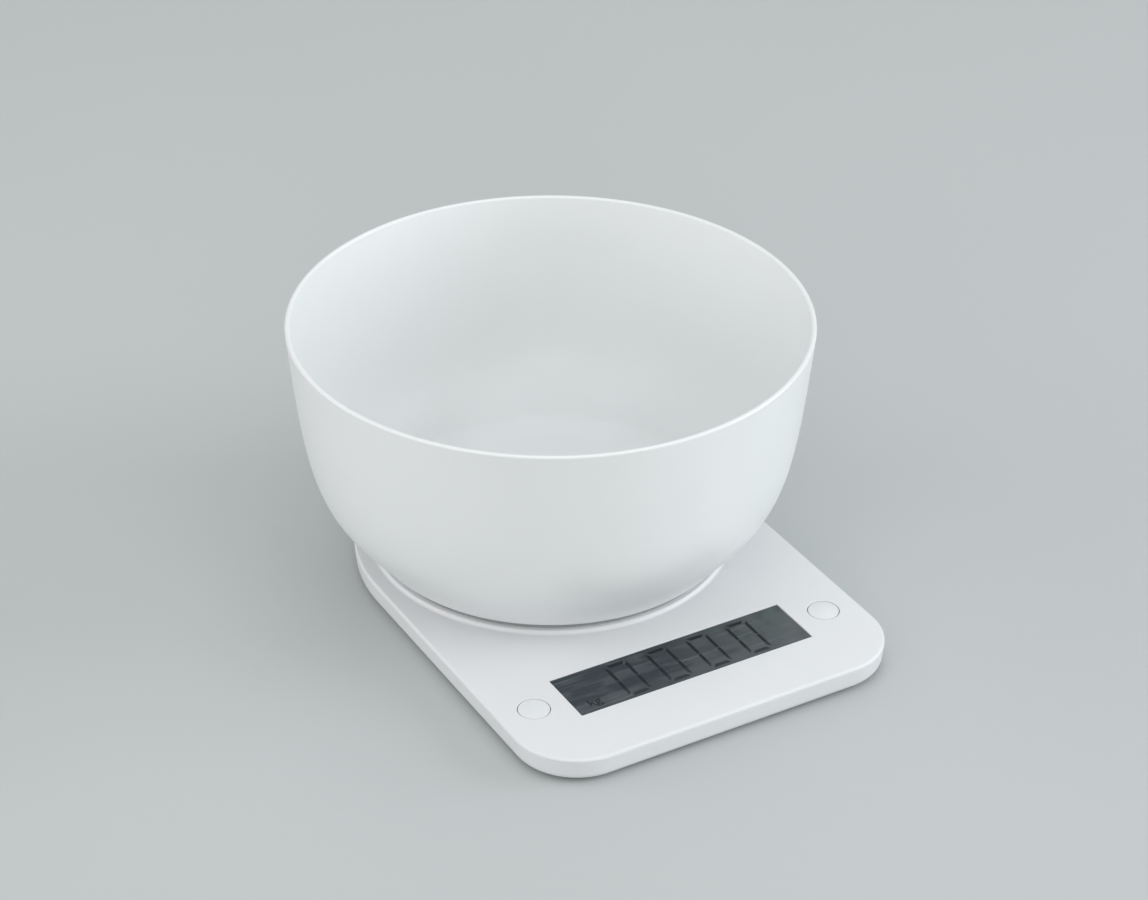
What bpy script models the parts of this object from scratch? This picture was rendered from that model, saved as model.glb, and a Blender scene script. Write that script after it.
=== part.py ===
"""Digital gram scale with a lift-off bowl.

A slim kitchen scale: a two-shell plate body with a round back, a round sprung weighing platform on one
bending-beam load cell, a wide display between two buttons, and a bowl whose foot ring sits on the platform.

Every dimension is in millimetres and the helpers turn it into metres. Pieces are modelled about the bowl's
axis, and the empty "scale_axis" stands that axis where the whole object is centred on the world origin.
"""

import math

import bmesh
import bpy
from mathutils import Vector

MM = 0.001

# Plate outline, seen from above: a half circle about the bowl's axis, straight sides, two front corners.
PLATE_HALF_WIDTH = 77.1
PLATE_FRONT = 135.5
PLATE_CORNER = 25.0

# Heights above the surface that the feet stand on.
UNDERSIDE_Z = 1.5
FLOOR_Z = 2.8
LIP_BOTTOM_Z = 8.2
CEILING_Z = 9.3
SEAM_Z = 9.8
PLATE_TOP_Z = 11.0
PLATFORM_TOP_Z = 11.3
COLLAR_TOP_Z = 12.35
RIM_Z = 107.5

# Shell sections.
SEAM_GAP = 0.12
TOP_EDGE_RADIUS = 1.05
BOTTOM_EDGE_RADIUS = 2.7
WALL_DRAFT = 0.5
WALL_INSET = 2.2
LIP_INSET = 2.5
LIP_THICKNESS = 1.2

# Collar round the platform.
COLLAR_INNER = 67.8
COLLAR_SKIRT = 1.8
COLLAR_SKIRT_Z = 8.6
COLLAR_CREST_OUTER = 69.6
COLLAR_INNER_ROUND = 0.4
COLLAR_OUTER_ROUND = 0.8
COLLAR_FILLET = 1.2

# Bowl: foot ring, thin turned shell, and the corners of the curve that its outer side follows.
BOWL_RADIUS = 100.0
BOWL_WALL = 2.0
BOWL_FOOT_RADIUS = 65.2
BOWL_FOOT_WIDTH = 2.6
BOWL_FOOT_Z = 11.5
BOWL_RECESS_Z = 12.4
BOWL_FLOOR_Z = 14.4
BOWL_FLOOR_RADIUS = 56.0
BOWL_BASE_CURVE = ((65.4, 12.5), (70.6, 15.1), (70.7, 15.1), (72.1, 16.8))
BOWL_WALL_CURVE = ((72.1, 16.8), (89.2, 38.1), (93.4, 37.9), (98.4, 90.2))

# Weighing platform.
PLATFORM_RADIUS = 66.8
PLATFORM_LIP = 1.3
PLATFORM_LIP_Z = 9.4
PLATFORM_UNDERSIDE_Z = 10.05
HEAD_POCKET_Z = 10.75
STIFFENER_RADIUS = 65.0
STIFFENER_Z = (9.5, 9.9)

# Load cell: a beam along Y, screwed down at its front end and carrying the platform at its back end.
BEAM_SIZE = (14.0, 64.0)
BEAM_Z = (3.9, 8.7)
BEAM_BORE_Y = 6.0
BEAM_BORE_RADIUS = 1.8
BEAM_SCREW_Y = (20.0, 28.0)
BEAM_END_Y = sum(BEAM_SCREW_Y) / 2
BEAM_SCREW_HEAD = 2.75
THREAD_RADIUS = 1.5
SHANK_RADIUS = 1.3
CLEARANCE_RADIUS = 1.7
SPACER_LENGTH = 16.0
LOWER_SPACER_Z = (3.15, 3.75)
UPPER_SPACER_Z = (8.85, 9.35)
GAUGE_SIZE = (9.0, 19.0)
GAUGE_THICKNESS = 0.25
STOP_RADIUS = 1.45
STOP_Z = (1.7, 3.45)

# Display and buttons.
DISPLAY_Y = -98.4
WINDOW_OPENING = (99.4, 24.2)
WINDOW_VIEW = (95.0, 20.4)
WINDOW_REBATE_Z = 9.7
WINDOW_Z = (9.85, 10.65)
WINDOW_GAP = 0.15
LCD_SIZE = (97.2, 22.2)
LCD_Z = (7.2, 9.0)
LCD_FRAME_SIZE = (102.5, 27.0)
LCD_FRAME_Z = (5.8, 9.0)
BUTTON_X = 62.8
BUTTON_RADIUS = 5.9
BUTTON_HOLE_RADIUS = 6.15
BUTTON_FLANGE_RADIUS = 7.2
BUTTON_FLANGE_Z = (8.5, 9.05)
BUTTON_SKIRT_INNER = 4.7
BUTTON_DOME = 0.25
SWITCH_SIZE = (6.0, 6.0)
SWITCH_Z = (5.65, 8.05)
ACTUATOR_RADIUS = 1.6
ACTUATOR_Z = (7.6, 8.9)

# Circuit board under the display, screwed up into the top cover.
BOARD_SIZE = (138.0, 28.0)
BOARD_Z = (4.5, 5.5)
CHIP_Z = (3.1, 4.35)
BOARD_SCREWS = (("left", -55.0, -109.4), ("right", 55.0, -109.4))
BOARD_BOSS_Z = (5.8, 9.9)
BOARD_PILOT = (0.85, (5.0, 9.0))
BOARD_SCREW_HEAD = (1.9, 4.35, 3.6)
BOARD_SCREW_SHANK = (0.75, 8.4)

# Battery compartment, under the left half of the platform. The notches lie DOOR_TURN degrees from the locked
# lugs, so the door opens anticlockwise as seen from below.
BATTERY_AT = (-38.0, -8.0)
DOOR_RADIUS = 14.0
DOOR_OPENING = 14.3
DOOR_FACE_Z = 2.6
DOOR_RING_INNER = 11.0
DOOR_TURN = -40.0
LUG_CAVITY_RADIUS = 16.4
LUG_CAVITY_Z = 4.2
LUG_REACH = 15.5
LUG_WIDTH = 7.0
LUG_Z = (3.05, 3.9)
COIN_SLOT = (15.0, 1.8)
COIN_RADIUS = 10.0
COIN_Z = (2.85, 6.05)
COIN_BORE = 10.7
WELL_ROOF_Z = 7.0
WELL_TOP_Z = 8.0
WELL_OUTER = 17.8

# Fasteners and feet, as (name, x, y) about the bowl's axis.
HOUSING_SCREWS = (
    ("back_left", -50.4, 50.4),
    ("back_right", 50.4, 50.4),
    ("side_left", -69.4, -72.0),
    ("side_right", 69.4, -72.0),
    ("front_left", -40.0, -128.3),
    ("front_right", 40.0, -128.3),
)
FEET = (
    ("front_left", -58.0, -116.0),
    ("front_right", 58.0, -116.0),
    ("back_left", -43.0, 41.0),
    ("back_right", 43.0, 41.0),
)
BOSS_RADIUS = 2.2
BOSS_Z = (4.7, 9.9)
PILOT = (0.95, (4.0, 8.6))
PAD_RADIUS = 3.2
PAD_TOP_Z = 4.4
HEAD_RADIUS = 2.0
HEAD_Z = (1.7, 2.75)
HEAD_CLEARANCE = 0.3
SCREW_TIP_Z = 8.2
SCREW_SHANK_RADIUS = 0.85
SCREW_HOLE_RADIUS = 1.3
FOOT_RADIUS = 7.0
FOOT_POCKET_RADIUS = 7.3
FOOT_POCKET_Z = 2.1
FOOT_TOP_Z = 1.9
FOOT_EDGE = 0.5

WIRE_RADIUS = 0.5
WIRE_PITCH = 2.8

# The rim reaches further behind the axis than the plate does, so this centres the whole on the origin.
AXIS_Y = (PLATE_FRONT - BOWL_RADIUS) / 2

# Sides of the large round shapes, and of holes, screws and other small ones.
ROUND_STEPS = 48
SMALL_STEPS = 16

# How far a cutter stands past the face that it cuts, and a joined solid sinks into what carries it.
OVERSHOOT = 1.0
SINK = 0.4


# ---------------------------------------------------------------- scene and helpers


def clear_scene():
    for obj in list(bpy.data.objects):
        bpy.data.objects.remove(obj, do_unlink=True)


def new_collection(name):
    collection = bpy.data.collections.new(name)
    bpy.context.scene.collection.children.link(collection)
    return collection


def new_axis():
    """The empty that every piece is parented to: the bowl's axis."""
    empty = bpy.data.objects.new("scale_axis", None)
    bpy.context.scene.collection.objects.link(empty)
    empty.location.y = AXIS_Y * MM
    return empty


def material(name, colour, roughness, metallic=0.0):
    made = bpy.data.materials.new(name)
    made.use_nodes = True
    shader = made.node_tree.nodes["Principled BSDF"]
    shader.inputs["Base Color"].default_value = (*colour, 1.0)
    shader.inputs["Roughness"].default_value = roughness
    shader.inputs["Metallic"].default_value = metallic
    return made


def place(obj, collection, at, turned):
    """Links obj and stands it at a place in millimetres, turned by degrees about Z."""
    collection.objects.link(obj)
    obj.location = Vector(at) * MM
    obj.rotation_euler.z = math.radians(turned)
    obj.parent = AXIS
    return obj


def part(name, data, look, at=(0.0, 0.0, 0.0), turned=0.0):
    """A visible sub-part, with a material of its own."""
    data.materials.append(material(name, *look))
    return place(bpy.data.objects.new(name, data), PARTS, at, turned)


def tool(name, mesh, at=(0.0, 0.0, 0.0), turned=0.0):
    """A solid that Booleans add or take away. It isn't a part of the scale."""
    obj = bpy.data.objects.new(name, mesh)
    obj.hide_render = True
    obj.display_type = "WIRE"
    return place(obj, CUTTERS, at, turned)


def mesh_of(name, bm):
    mesh = bpy.data.meshes.new(name)
    bm.to_mesh(mesh)
    bm.free()
    return mesh


def smooth(mesh):
    mesh.shade_smooth()
    mesh.set_sharp_from_angle(angle=math.radians(35.0))
    return mesh


def block(name, size, heights):
    """A box size[0] by size[1], centred on X and Y, between two heights."""
    low, high = heights
    bm = bmesh.new()
    bmesh.ops.create_cube(bm, size=1.0)
    bmesh.ops.scale(bm, verts=bm.verts, vec=Vector((*size, high - low)) * MM)
    bmesh.ops.translate(bm, verts=bm.verts, vec=(0.0, 0.0, (low + high) / 2 * MM))
    return mesh_of(name, bm)


def rod(name, radius, heights, top_radius=None, segments=SMALL_STEPS):
    """A round bar along Z between two heights, or a cone if top_radius is given."""
    low, high = heights
    bm = bmesh.new()
    bmesh.ops.create_cone(
        bm,
        cap_ends=True,
        segments=segments,
        radius1=radius * MM,
        radius2=(radius if top_radius is None else top_radius) * MM,
        depth=(high - low) * MM,
    )
    bmesh.ops.translate(bm, verts=bm.verts, vec=(0.0, 0.0, (low + high) / 2 * MM))
    return smooth(mesh_of(name, bm))


def profile(name, points, closed=False):
    """Edges through (radius, height) points."""
    bm = bmesh.new()
    verts = [bm.verts.new((r * MM, 0.0, z * MM)) for r, z in points]
    for first, second in zip(verts, verts[1:]):
        bm.edges.new((first, second))
    if closed:
        bm.edges.new((verts[-1], verts[0]))
    return mesh_of(name, bm)


def turn(obj, steps=ROUND_STEPS):
    """Turns a profile, which runs down its outer side, into a solid."""
    screw_step = obj.modifiers.new("Turn", "SCREW")
    screw_step.steps = steps
    screw_step.render_steps = steps
    screw_step.use_merge_vertices = True
    screw_step.merge_threshold = 0.00001
    screw_step.use_smooth_shade = True
    return obj


def boolean(obj, other, operation):
    step = obj.modifiers.new(other.name, "BOOLEAN")
    step.operation = operation
    step.object = other
    step.solver = "EXACT"


def cut(obj, *others):
    for other in others:
        boolean(obj, other, "DIFFERENCE")


def join(obj, *others):
    for other in others:
        boolean(obj, other, "UNION")


def round_edges(obj, width):
    bevel = obj.modifiers.new("Edges", "BEVEL")
    bevel.width = width * MM
    bevel.segments = 1
    bevel.limit_method = "ANGLE"
    bevel.angle_limit = math.radians(40.0)
    return obj


def arc(centre, radius, start, end, steps):
    """Points on an arc between two angles in degrees, both ends included."""
    angles = [math.radians(start + (end - start) * k / steps) for k in range(steps + 1)]
    return [(centre[0] + radius * math.cos(a), centre[1] + radius * math.sin(a)) for a in angles]


def bezier(p0, p1, p2, p3, steps):
    """Points along a cubic Bezier curve, both ends included."""
    corners = [Vector(p) for p in (p0, p1, p2, p3)]
    points = []
    for k in range(steps + 1):
        t = k / steps
        weights = ((1 - t) ** 3, 3 * t * (1 - t) ** 2, 3 * t * t * (1 - t), t**3)
        point = sum((w * c for w, c in zip(weights, corners)), Vector.Fill(len(p0), 0.0))
        points.append(tuple(point))
    return points


def offset(points, distance):
    """The points moved sideways, to the left of the way that they run."""
    moved = []
    for k, point in enumerate(points):
        before = Vector(points[max(k - 1, 0)])
        after = Vector(points[min(k + 1, len(points) - 1)])
        along = (after - before).normalized()
        moved.append((point[0] - along.y * distance, point[1] + along.x * distance))
    return moved


def plate_outline(inset):
    """The plate's outline moved inwards, anticlockwise from its right side, always with as many points."""
    corner_x = PLATE_HALF_WIDTH - PLATE_CORNER
    corner_y = PLATE_CORNER - PLATE_FRONT
    radius = PLATE_CORNER - inset
    back = arc((0.0, 0.0), PLATE_HALF_WIDTH - inset, 0.0, 180.0, 32)
    left = arc((-corner_x, corner_y), radius, 180.0, 270.0, 7)
    right = arc((corner_x, corner_y), radius, 270.0, 360.0, 7)
    return back + left + right


def slab(name, sections):
    """A loft through inset copies of the plate's outline, as (height, inset) from the bottom up.

    The draft and the soft edges differ between top and bottom, which one extrusion and Bevel can't give.
    """
    bm = bmesh.new()
    rings = []
    for height, inset in sections:
        rings.append([bm.verts.new((x * MM, y * MM, height * MM)) for x, y in plate_outline(inset)])
    for lower, upper in zip(rings, rings[1:]):
        for k in range(len(lower)):
            bm.faces.new((lower[k - 1], lower[k], upper[k], upper[k - 1]))
    bm.faces.new(rings[0][::-1])
    bm.faces.new(rings[-1])
    return smooth(mesh_of(name, bm))


def wire(name, points, look):
    """A round wire through points in millimetres."""
    curve = bpy.data.curves.new(name, "CURVE")
    curve.dimensions = "3D"
    curve.bevel_depth = WIRE_RADIUS * MM
    curve.bevel_resolution = 2
    curve.use_fill_caps = True
    spline = curve.splines.new("POLY")
    spline.points.add(len(points) - 1)
    for slot, point in zip(spline.points, points):
        slot.co = (*(Vector(point) * MM), 1.0)
    return part(name, curve, look)


def strip(name, points, width, look, at):
    """A bent strip of thin spring metal whose side view runs through (x, z) points."""
    bm = bmesh.new()
    near = [bm.verts.new((x * MM, -width / 2 * MM, z * MM)) for x, z in points]
    far = [bm.verts.new((x * MM, width / 2 * MM, z * MM)) for x, z in points]
    for k in range(len(points) - 1):
        bm.faces.new((near[k], near[k + 1], far[k + 1], far[k]))
    obj = part(name, mesh_of(name, bm), look, at)
    solidify = obj.modifiers.new("Thickness", "SOLIDIFY")
    solidify.thickness = 0.2 * MM
    solidify.offset = 0.0
    return obj


# Colour, roughness and metallic of each kind of piece.
WHITE_SHELL = ((0.80, 0.82, 0.82), 0.42)
WHITE_BOWL = ((0.86, 0.88, 0.88), 0.36)
WHITE_BUTTON = ((0.78, 0.80, 0.80), 0.38)
DARK_WINDOW = ((0.06, 0.07, 0.08), 0.12)
DARK_GLASS = ((0.10, 0.12, 0.12), 0.20)
BLACK_PLASTIC = ((0.03, 0.03, 0.03), 0.50)
GREY_RUBBER = ((0.22, 0.23, 0.23), 0.80)
GREEN_BOARD = ((0.04, 0.22, 0.10), 0.45)
SILICONE = ((0.55, 0.55, 0.52), 0.60)
ALUMINIUM = ((0.70, 0.71, 0.73), 0.35, 1.0)
STEEL = ((0.55, 0.56, 0.58), 0.35, 1.0)
NICKEL = ((0.66, 0.64, 0.60), 0.30, 1.0)
WIRE_RED = ((0.55, 0.03, 0.02), 0.5)
WIRE_BLACK = ((0.02, 0.02, 0.02), 0.5)
WIRE_WHITE = ((0.75, 0.75, 0.72), 0.5)
WIRE_GREEN = ((0.02, 0.30, 0.08), 0.5)


# ---------------------------------------------------------------- housing


def collar_profile():
    """Section of the collar, up its inner side and down its outer side to the plate."""
    inner_round = (COLLAR_INNER + COLLAR_INNER_ROUND, COLLAR_TOP_Z - COLLAR_INNER_ROUND)
    outer_round = (COLLAR_CREST_OUTER, COLLAR_TOP_Z - COLLAR_OUTER_ROUND)
    reach = COLLAR_OUTER_ROUND + COLLAR_FILLET
    rise = PLATE_TOP_Z + COLLAR_FILLET - outer_round[1]
    fillet = (COLLAR_CREST_OUTER + math.sqrt(reach**2 - rise**2), PLATE_TOP_Z + COLLAR_FILLET)
    meeting = math.degrees(math.asin(rise / reach))
    root_z = PLATE_TOP_Z - SINK
    skirt_outer = COLLAR_INNER + COLLAR_SKIRT
    return [
        (COLLAR_INNER, COLLAR_SKIRT_Z),
        *arc(inner_round, COLLAR_INNER_ROUND, 180.0, 90.0, 3),
        *arc(outer_round, COLLAR_OUTER_ROUND, 90.0, meeting, 3),
        *arc(fillet, COLLAR_FILLET, 180.0 + meeting, 270.0, 4)[1:],
        (fillet[0], root_z),
        (skirt_outer, root_z),
        (skirt_outer, COLLAR_SKIRT_Z),
    ]


def cover_shell():
    """The top cover's plate with its soft top edge, its locating lip and the hole for the platform."""
    edge = arc((TOP_EDGE_RADIUS, PLATE_TOP_Z - TOP_EDGE_RADIUS), TOP_EDGE_RADIUS, 180.0, 90.0, 4)
    sections = [(SEAM_Z + SEAM_GAP, 0.0)] + [(z, inset) for inset, z in edge]
    shell = part("upper_housing", slab("upper_housing", sections), WHITE_SHELL)
    inside = LIP_INSET + LIP_THICKNESS
    lip = slab("upper_lip", [(LIP_BOTTOM_Z, LIP_INSET), (PLATE_TOP_Z - SINK, LIP_INSET)])
    join(shell, tool("upper_lip", lip))
    hollow = slab("upper_hollow", [(LIP_BOTTOM_Z - OVERSHOOT, inside), (CEILING_Z, inside)])
    hole_z = (LIP_BOTTOM_Z - OVERSHOOT, PLATE_TOP_Z + OVERSHOOT)
    hole = rod("platform_hole", COLLAR_INNER + COLLAR_SKIRT / 2, hole_z, segments=ROUND_STEPS)
    cut(shell, tool("upper_hollow", hollow), tool("platform_hole", hole))
    return shell


def upper_housing():
    """Top cover: shell, collar, screw bosses, window opening and button holes."""
    shell = cover_shell()
    join(shell, turn(tool("collar", profile("collar", collar_profile(), closed=True))))
    for name, x, y in HOUSING_SCREWS:
        join(shell, tool(f"boss_{name}", rod("boss", BOSS_RADIUS, BOSS_Z), (x, y, 0.0)))
    for side, x, y in BOARD_SCREWS:
        join(shell, tool(f"board_boss_{side}", rod("boss", BOSS_RADIUS, BOARD_BOSS_Z), (x, y, 0.0)))
    for name, x, y in HOUSING_SCREWS:
        cut(shell, tool(f"pilot_{name}", rod("pilot", *PILOT, segments=12), (x, y, 0.0)))
    for side, x, y in BOARD_SCREWS:
        cut(shell, tool(f"board_pilot_{side}", rod("pilot", *BOARD_PILOT, segments=12), (x, y, 0.0)))
    through = (CEILING_Z - OVERSHOOT, PLATE_TOP_Z + OVERSHOOT)
    view = block("window_view", WINDOW_VIEW, through)
    rebate = block("window_rebate", WINDOW_OPENING, (WINDOW_REBATE_Z, PLATE_TOP_Z + OVERSHOOT))
    cut(shell, tool("window_view", view, (0.0, DISPLAY_Y, 0.0)))
    cut(shell, tool("window_rebate", rebate, (0.0, DISPLAY_Y, 0.0)))
    for side, x in (("left", -BUTTON_X), ("right", BUTTON_X)):
        hole = rod("button_hole", BUTTON_HOLE_RADIUS, through, segments=24)
        cut(shell, tool(f"button_hole_{side}", hole, (x, DISPLAY_Y, 0.0)))


def battery_well(shell):
    """The stepped well of the coin cell: door opening, lug cavity and cell bore under one roof."""
    x, y = BATTERY_AT
    at = (x, y, 0.0)
    below = UNDERSIDE_Z - OVERSHOOT
    join(shell, tool("well", rod("well", WELL_OUTER, (FLOOR_Z - SINK, WELL_TOP_Z), segments=32), at))
    opening = [
        (0.0, WELL_ROOF_Z),
        (COIN_BORE, WELL_ROOF_Z),
        (COIN_BORE, LUG_CAVITY_Z),
        (LUG_CAVITY_RADIUS, LUG_CAVITY_Z),
        (LUG_CAVITY_RADIUS, FLOOR_Z),
        (DOOR_OPENING, FLOOR_Z),
        (DOOR_OPENING, below),
        (0.0, below),
    ]
    cut(shell, turn(tool("well_bore", profile("well_bore", opening), at), 32))
    notch_size = (2 * LUG_REACH + 0.6, LUG_WIDTH + 0.8)
    notches = block("lug_notches", notch_size, (below, FLOOR_Z + 0.3))
    cut(shell, tool("lug_notches", notches, at, DOOR_TURN))
    slot = block("contact_slot", (1.8, 4.8), (LUG_CAVITY_Z + 0.2, WELL_ROOF_Z - 0.1))
    cut(shell, tool("contact_slot", slot, (x + COIN_BORE + 0.3, y, 0.0)))
    window = block("contact_window", (3.0, 3.4), (WELL_ROOF_Z - OVERSHOOT, WELL_TOP_Z + OVERSHOOT))
    cut(shell, tool("contact_window", window, (x, y - 6.5, 0.0)))


def tray_shell():
    """The bottom tray: drafted wall with a deep soft bottom edge, hollowed from above."""
    radius = BOTTOM_EDGE_RADIUS
    edge = arc((WALL_DRAFT + radius, UNDERSIDE_Z + radius), radius, 270.0, 180.0, 5)
    outside = [(z, inset) for inset, z in edge] + [(SEAM_Z - 0.3, 0.0), (SEAM_Z, 0.15)]
    shell = part("lower_housing", slab("lower_housing", outside), WHITE_SHELL)
    corner = [(FLOOR_Z, WALL_INSET + 2.0), (FLOOR_Z + 1.4, WALL_INSET + 0.6)]
    hollow = slab("lower_hollow", [*corner, (SEAM_Z + OVERSHOOT, WALL_INSET)])
    cut(shell, tool("lower_hollow", hollow))
    return shell


def tray_supports(shell):
    """Pads under the beam, the overload stop and the screw bosses, and two ribs along the floor."""
    base = FLOOR_Z - SINK
    join(shell, tool("beam_pad", block("beam_pad", (18.0, 20.0), (base, 3.0)), (0.0, -BEAM_END_Y, 0.0)))
    join(shell, tool("stop_pad", rod("stop_pad", 3.2, (base, 3.1)), (0.0, BEAM_END_Y, 0.0)))
    for side, x in (("left", -11.0), ("right", 11.0)):
        join(shell, tool(f"rib_{side}", block("rib", (1.2, 112.0), (base, 4.0)), (x, -22.0, 0.0)))
    for name, x, y in HOUSING_SCREWS:
        join(shell, tool(f"pad_{name}", rod("pad", PAD_RADIUS, (base, PAD_TOP_Z)), (x, y, 0.0)))


def tray_holes(shell):
    """Screw holes, foot pockets, and the seats of the beam's screws and the overload stop."""
    below = UNDERSIDE_Z - OVERSHOOT
    for name, x, y in HOUSING_SCREWS:
        counterbore = rod("counterbore", HEAD_RADIUS + HEAD_CLEARANCE, (below, HEAD_Z[1] + 0.15))
        clearance = rod("clearance", SCREW_HOLE_RADIUS, (HEAD_Z[0], PAD_TOP_Z + OVERSHOOT), segments=12)
        cut(shell, tool(f"counterbore_{name}", counterbore, (x, y, 0.0)))
        cut(shell, tool(f"clearance_{name}", clearance, (x, y, 0.0)))
    for name, x, y in FEET:
        pocket = rod("foot_pocket", FOOT_POCKET_RADIUS, (below, FOOT_POCKET_Z), segments=24)
        cut(shell, tool(f"foot_pocket_{name}", pocket, (x, y, 0.0)))
    for k, y in enumerate(BEAM_SCREW_Y, 1):
        seat = rod("beam_seat", 3.2, (UNDERSIDE_Z - 0.2, 2.9), top_radius=1.5)
        hole = rod("beam_hole", CLEARANCE_RADIUS, (2.5, 4.0))
        cut(shell, tool(f"beam_seat_{k}", seat, (0.0, -y, 0.0)))
        cut(shell, tool(f"beam_hole_{k}", hole, (0.0, -y, 0.0)))
    cut(shell, tool("stop_hole", rod("stop_hole", CLEARANCE_RADIUS, (below, 4.0)), (0.0, BEAM_END_Y, 0.0)))


def lower_housing():
    shell = tray_shell()
    tray_supports(shell)
    battery_well(shell)
    tray_holes(shell)


def screw(name, at, head, shank, countersunk=False, points_up=True):
    """A cross-headed screw along Z: head is (radius, seat height, far height), shank (radius, tip height)."""
    head_radius, seat, top = head
    shank_radius, tip = shank
    head_side = [(0.0, top), (head_radius, top), (head_radius, seat)]
    shank_side = [(shank_radius, seat), (shank_radius, tip), (0.0, tip)]
    outer = head_side + shank_side
    if countersunk:
        outer.pop(2)
    if points_up:
        outer.reverse()
    obj = turn(part(name, profile(name, outer), STEEL, at), 12)
    inwards = math.copysign(0.4, seat - top)
    slot_z = sorted((top + inwards, top - math.copysign(OVERSHOOT, inwards)))
    for k, angle in enumerate((0.0, 90.0)):
        slot = block("driver", (head_radius * 1.3, 0.6), slot_z)
        cut(obj, tool(f"driver_{name}_{k}", slot, at, angle))


def housing_screws():
    head = (HEAD_RADIUS, HEAD_Z[1], HEAD_Z[0])
    for name, x, y in HOUSING_SCREWS:
        screw(f"housing_screw_{name}", (x, y, 0.0), head, (SCREW_SHANK_RADIUS, SCREW_TIP_Z))


def feet():
    sole = [
        (0.0, FOOT_TOP_Z),
        (FOOT_RADIUS, FOOT_TOP_Z),
        (FOOT_RADIUS, FOOT_EDGE),
        (FOOT_RADIUS - FOOT_EDGE, 0.0),
        (0.0, 0.0),
    ]
    for name, x, y in FEET:
        turn(part(f"foot_{name}", profile("foot", sole), GREY_RUBBER, (x, y, 0.0)), 24)


# ---------------------------------------------------------------- weighing parts


def load_cell():
    """Aluminium bending beam with the joined pair of bores that makes its thin webs."""
    middle = sum(BEAM_Z) / 2
    half_slot = BEAM_BORE_RADIUS / 2
    across = BEAM_SIZE[0] / 2 + OVERSHOOT
    beam = part("load_cell", block("load_cell", BEAM_SIZE, BEAM_Z), ALUMINIUM)
    for end, y in (("front", -BEAM_BORE_Y), ("back", BEAM_BORE_Y)):
        bore = rod("web_bore", BEAM_BORE_RADIUS, (-across, across))
        bore = tool(f"web_bore_{end}", bore, (0.0, y, middle))
        bore.rotation_euler.y = math.radians(90.0)
        cut(beam, bore)
    slot = block("web_slot", (2 * across, 2 * BEAM_BORE_Y), (middle - half_slot, middle + half_slot))
    cut(beam, tool("web_slot", slot))
    through = (BEAM_Z[0] - OVERSHOOT, BEAM_Z[1] + OVERSHOOT)
    for k, y in enumerate(BEAM_SCREW_Y, 1):
        cut(beam, tool(f"thread_front_{k}", rod("thread", THREAD_RADIUS, through), (0.0, -y, 0.0)))
        cut(beam, tool(f"thread_back_{k}", rod("thread", THREAD_RADIUS, through), (0.0, y, 0.0)))


def spacer(name, end, heights):
    """A steel plate under or over one end of the beam, with two screw holes. end is -1 for the front."""
    size = (BEAM_SIZE[0], SPACER_LENGTH)
    plate = part(name, block(name, size, heights), STEEL, (0.0, end * BEAM_END_Y, 0.0))
    through = (heights[0] - OVERSHOOT, heights[1] + OVERSHOOT)
    for k, y in enumerate(BEAM_SCREW_Y, 1):
        hole = rod("spacer_hole", CLEARANCE_RADIUS, through)
        cut(plate, tool(f"{name}_hole_{k}", hole, (0.0, end * y, 0.0)))


def load_cell_fixings():
    spacer("load_cell_spacer", -1, LOWER_SPACER_Z)
    spacer("platform_spacer", 1, UPPER_SPACER_Z)
    for k, y in enumerate(BEAM_SCREW_Y, 1):
        lower_head = (BEAM_SCREW_HEAD, 2.8, 1.6)
        upper_head = (BEAM_SCREW_HEAD, 10.0, 10.6)
        screw(f"load_cell_screw_{k}", (0.0, -y, 0.0), lower_head, (SHANK_RADIUS, 7.6), countersunk=True)
        screw(f"platform_screw_{k}", (0.0, y, 0.0), upper_head, (SHANK_RADIUS, 4.8), points_up=False)
    stop = part("overload_stop", rod("overload_stop", STOP_RADIUS, STOP_Z), STEEL, (0.0, BEAM_END_Y, 0.0))
    slot = block("stop_slot", (4.0, 0.5), (STOP_Z[0] - OVERSHOOT, STOP_Z[0] + 0.4))
    cut(stop, tool("stop_slot", slot, (0.0, BEAM_END_Y, 0.0)))


def strain_gauges():
    """Foil gauges in a coat of silicone on the beam's thin webs, above and below."""
    above = BEAM_Z[1] + 0.1
    below = BEAM_Z[0] - 0.1
    layers = (("upper", (above, above + GAUGE_THICKNESS)), ("lower", (below - GAUGE_THICKNESS, below)))
    for side, heights in layers:
        gauge = part(f"strain_gauge_{side}", block("strain_gauge", GAUGE_SIZE, heights), SILICONE)
        round_edges(gauge, 0.1)


def weighing_platform():
    """Round cover with a downward lip, and the steel disc that stiffens it."""
    lip_inner = PLATFORM_RADIUS - PLATFORM_LIP
    section = [
        (0.0, PLATFORM_TOP_Z),
        *arc((PLATFORM_RADIUS - 0.5, PLATFORM_TOP_Z - 0.5), 0.5, 90.0, 0.0, 2),
        (PLATFORM_RADIUS, PLATFORM_LIP_Z),
        (lip_inner, PLATFORM_LIP_Z),
        (lip_inner, PLATFORM_UNDERSIDE_Z),
        (0.0, PLATFORM_UNDERSIDE_Z),
    ]
    cover = turn(part("platform_cover", profile("platform_cover", section), WHITE_SHELL))
    disc = rod("platform_stiffener", STIFFENER_RADIUS, STIFFENER_Z, segments=ROUND_STEPS)
    stiffener = part("platform_stiffener", disc, STEEL)
    through = (STIFFENER_Z[0] - OVERSHOOT, STIFFENER_Z[1] + OVERSHOOT)
    for k, y in enumerate(BEAM_SCREW_Y, 1):
        pocket_z = (PLATFORM_UNDERSIDE_Z - OVERSHOOT, HEAD_POCKET_Z)
        pocket = rod("head_pocket", BEAM_SCREW_HEAD + 0.65, pocket_z)
        hole = rod("stiffener_hole", CLEARANCE_RADIUS, through)
        cut(cover, tool(f"head_pocket_{k}", pocket, (0.0, y, 0.0)))
        cut(stiffener, tool(f"stiffener_hole_{k}", hole, (0.0, y, 0.0)))


# ---------------------------------------------------------------- bowl


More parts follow.
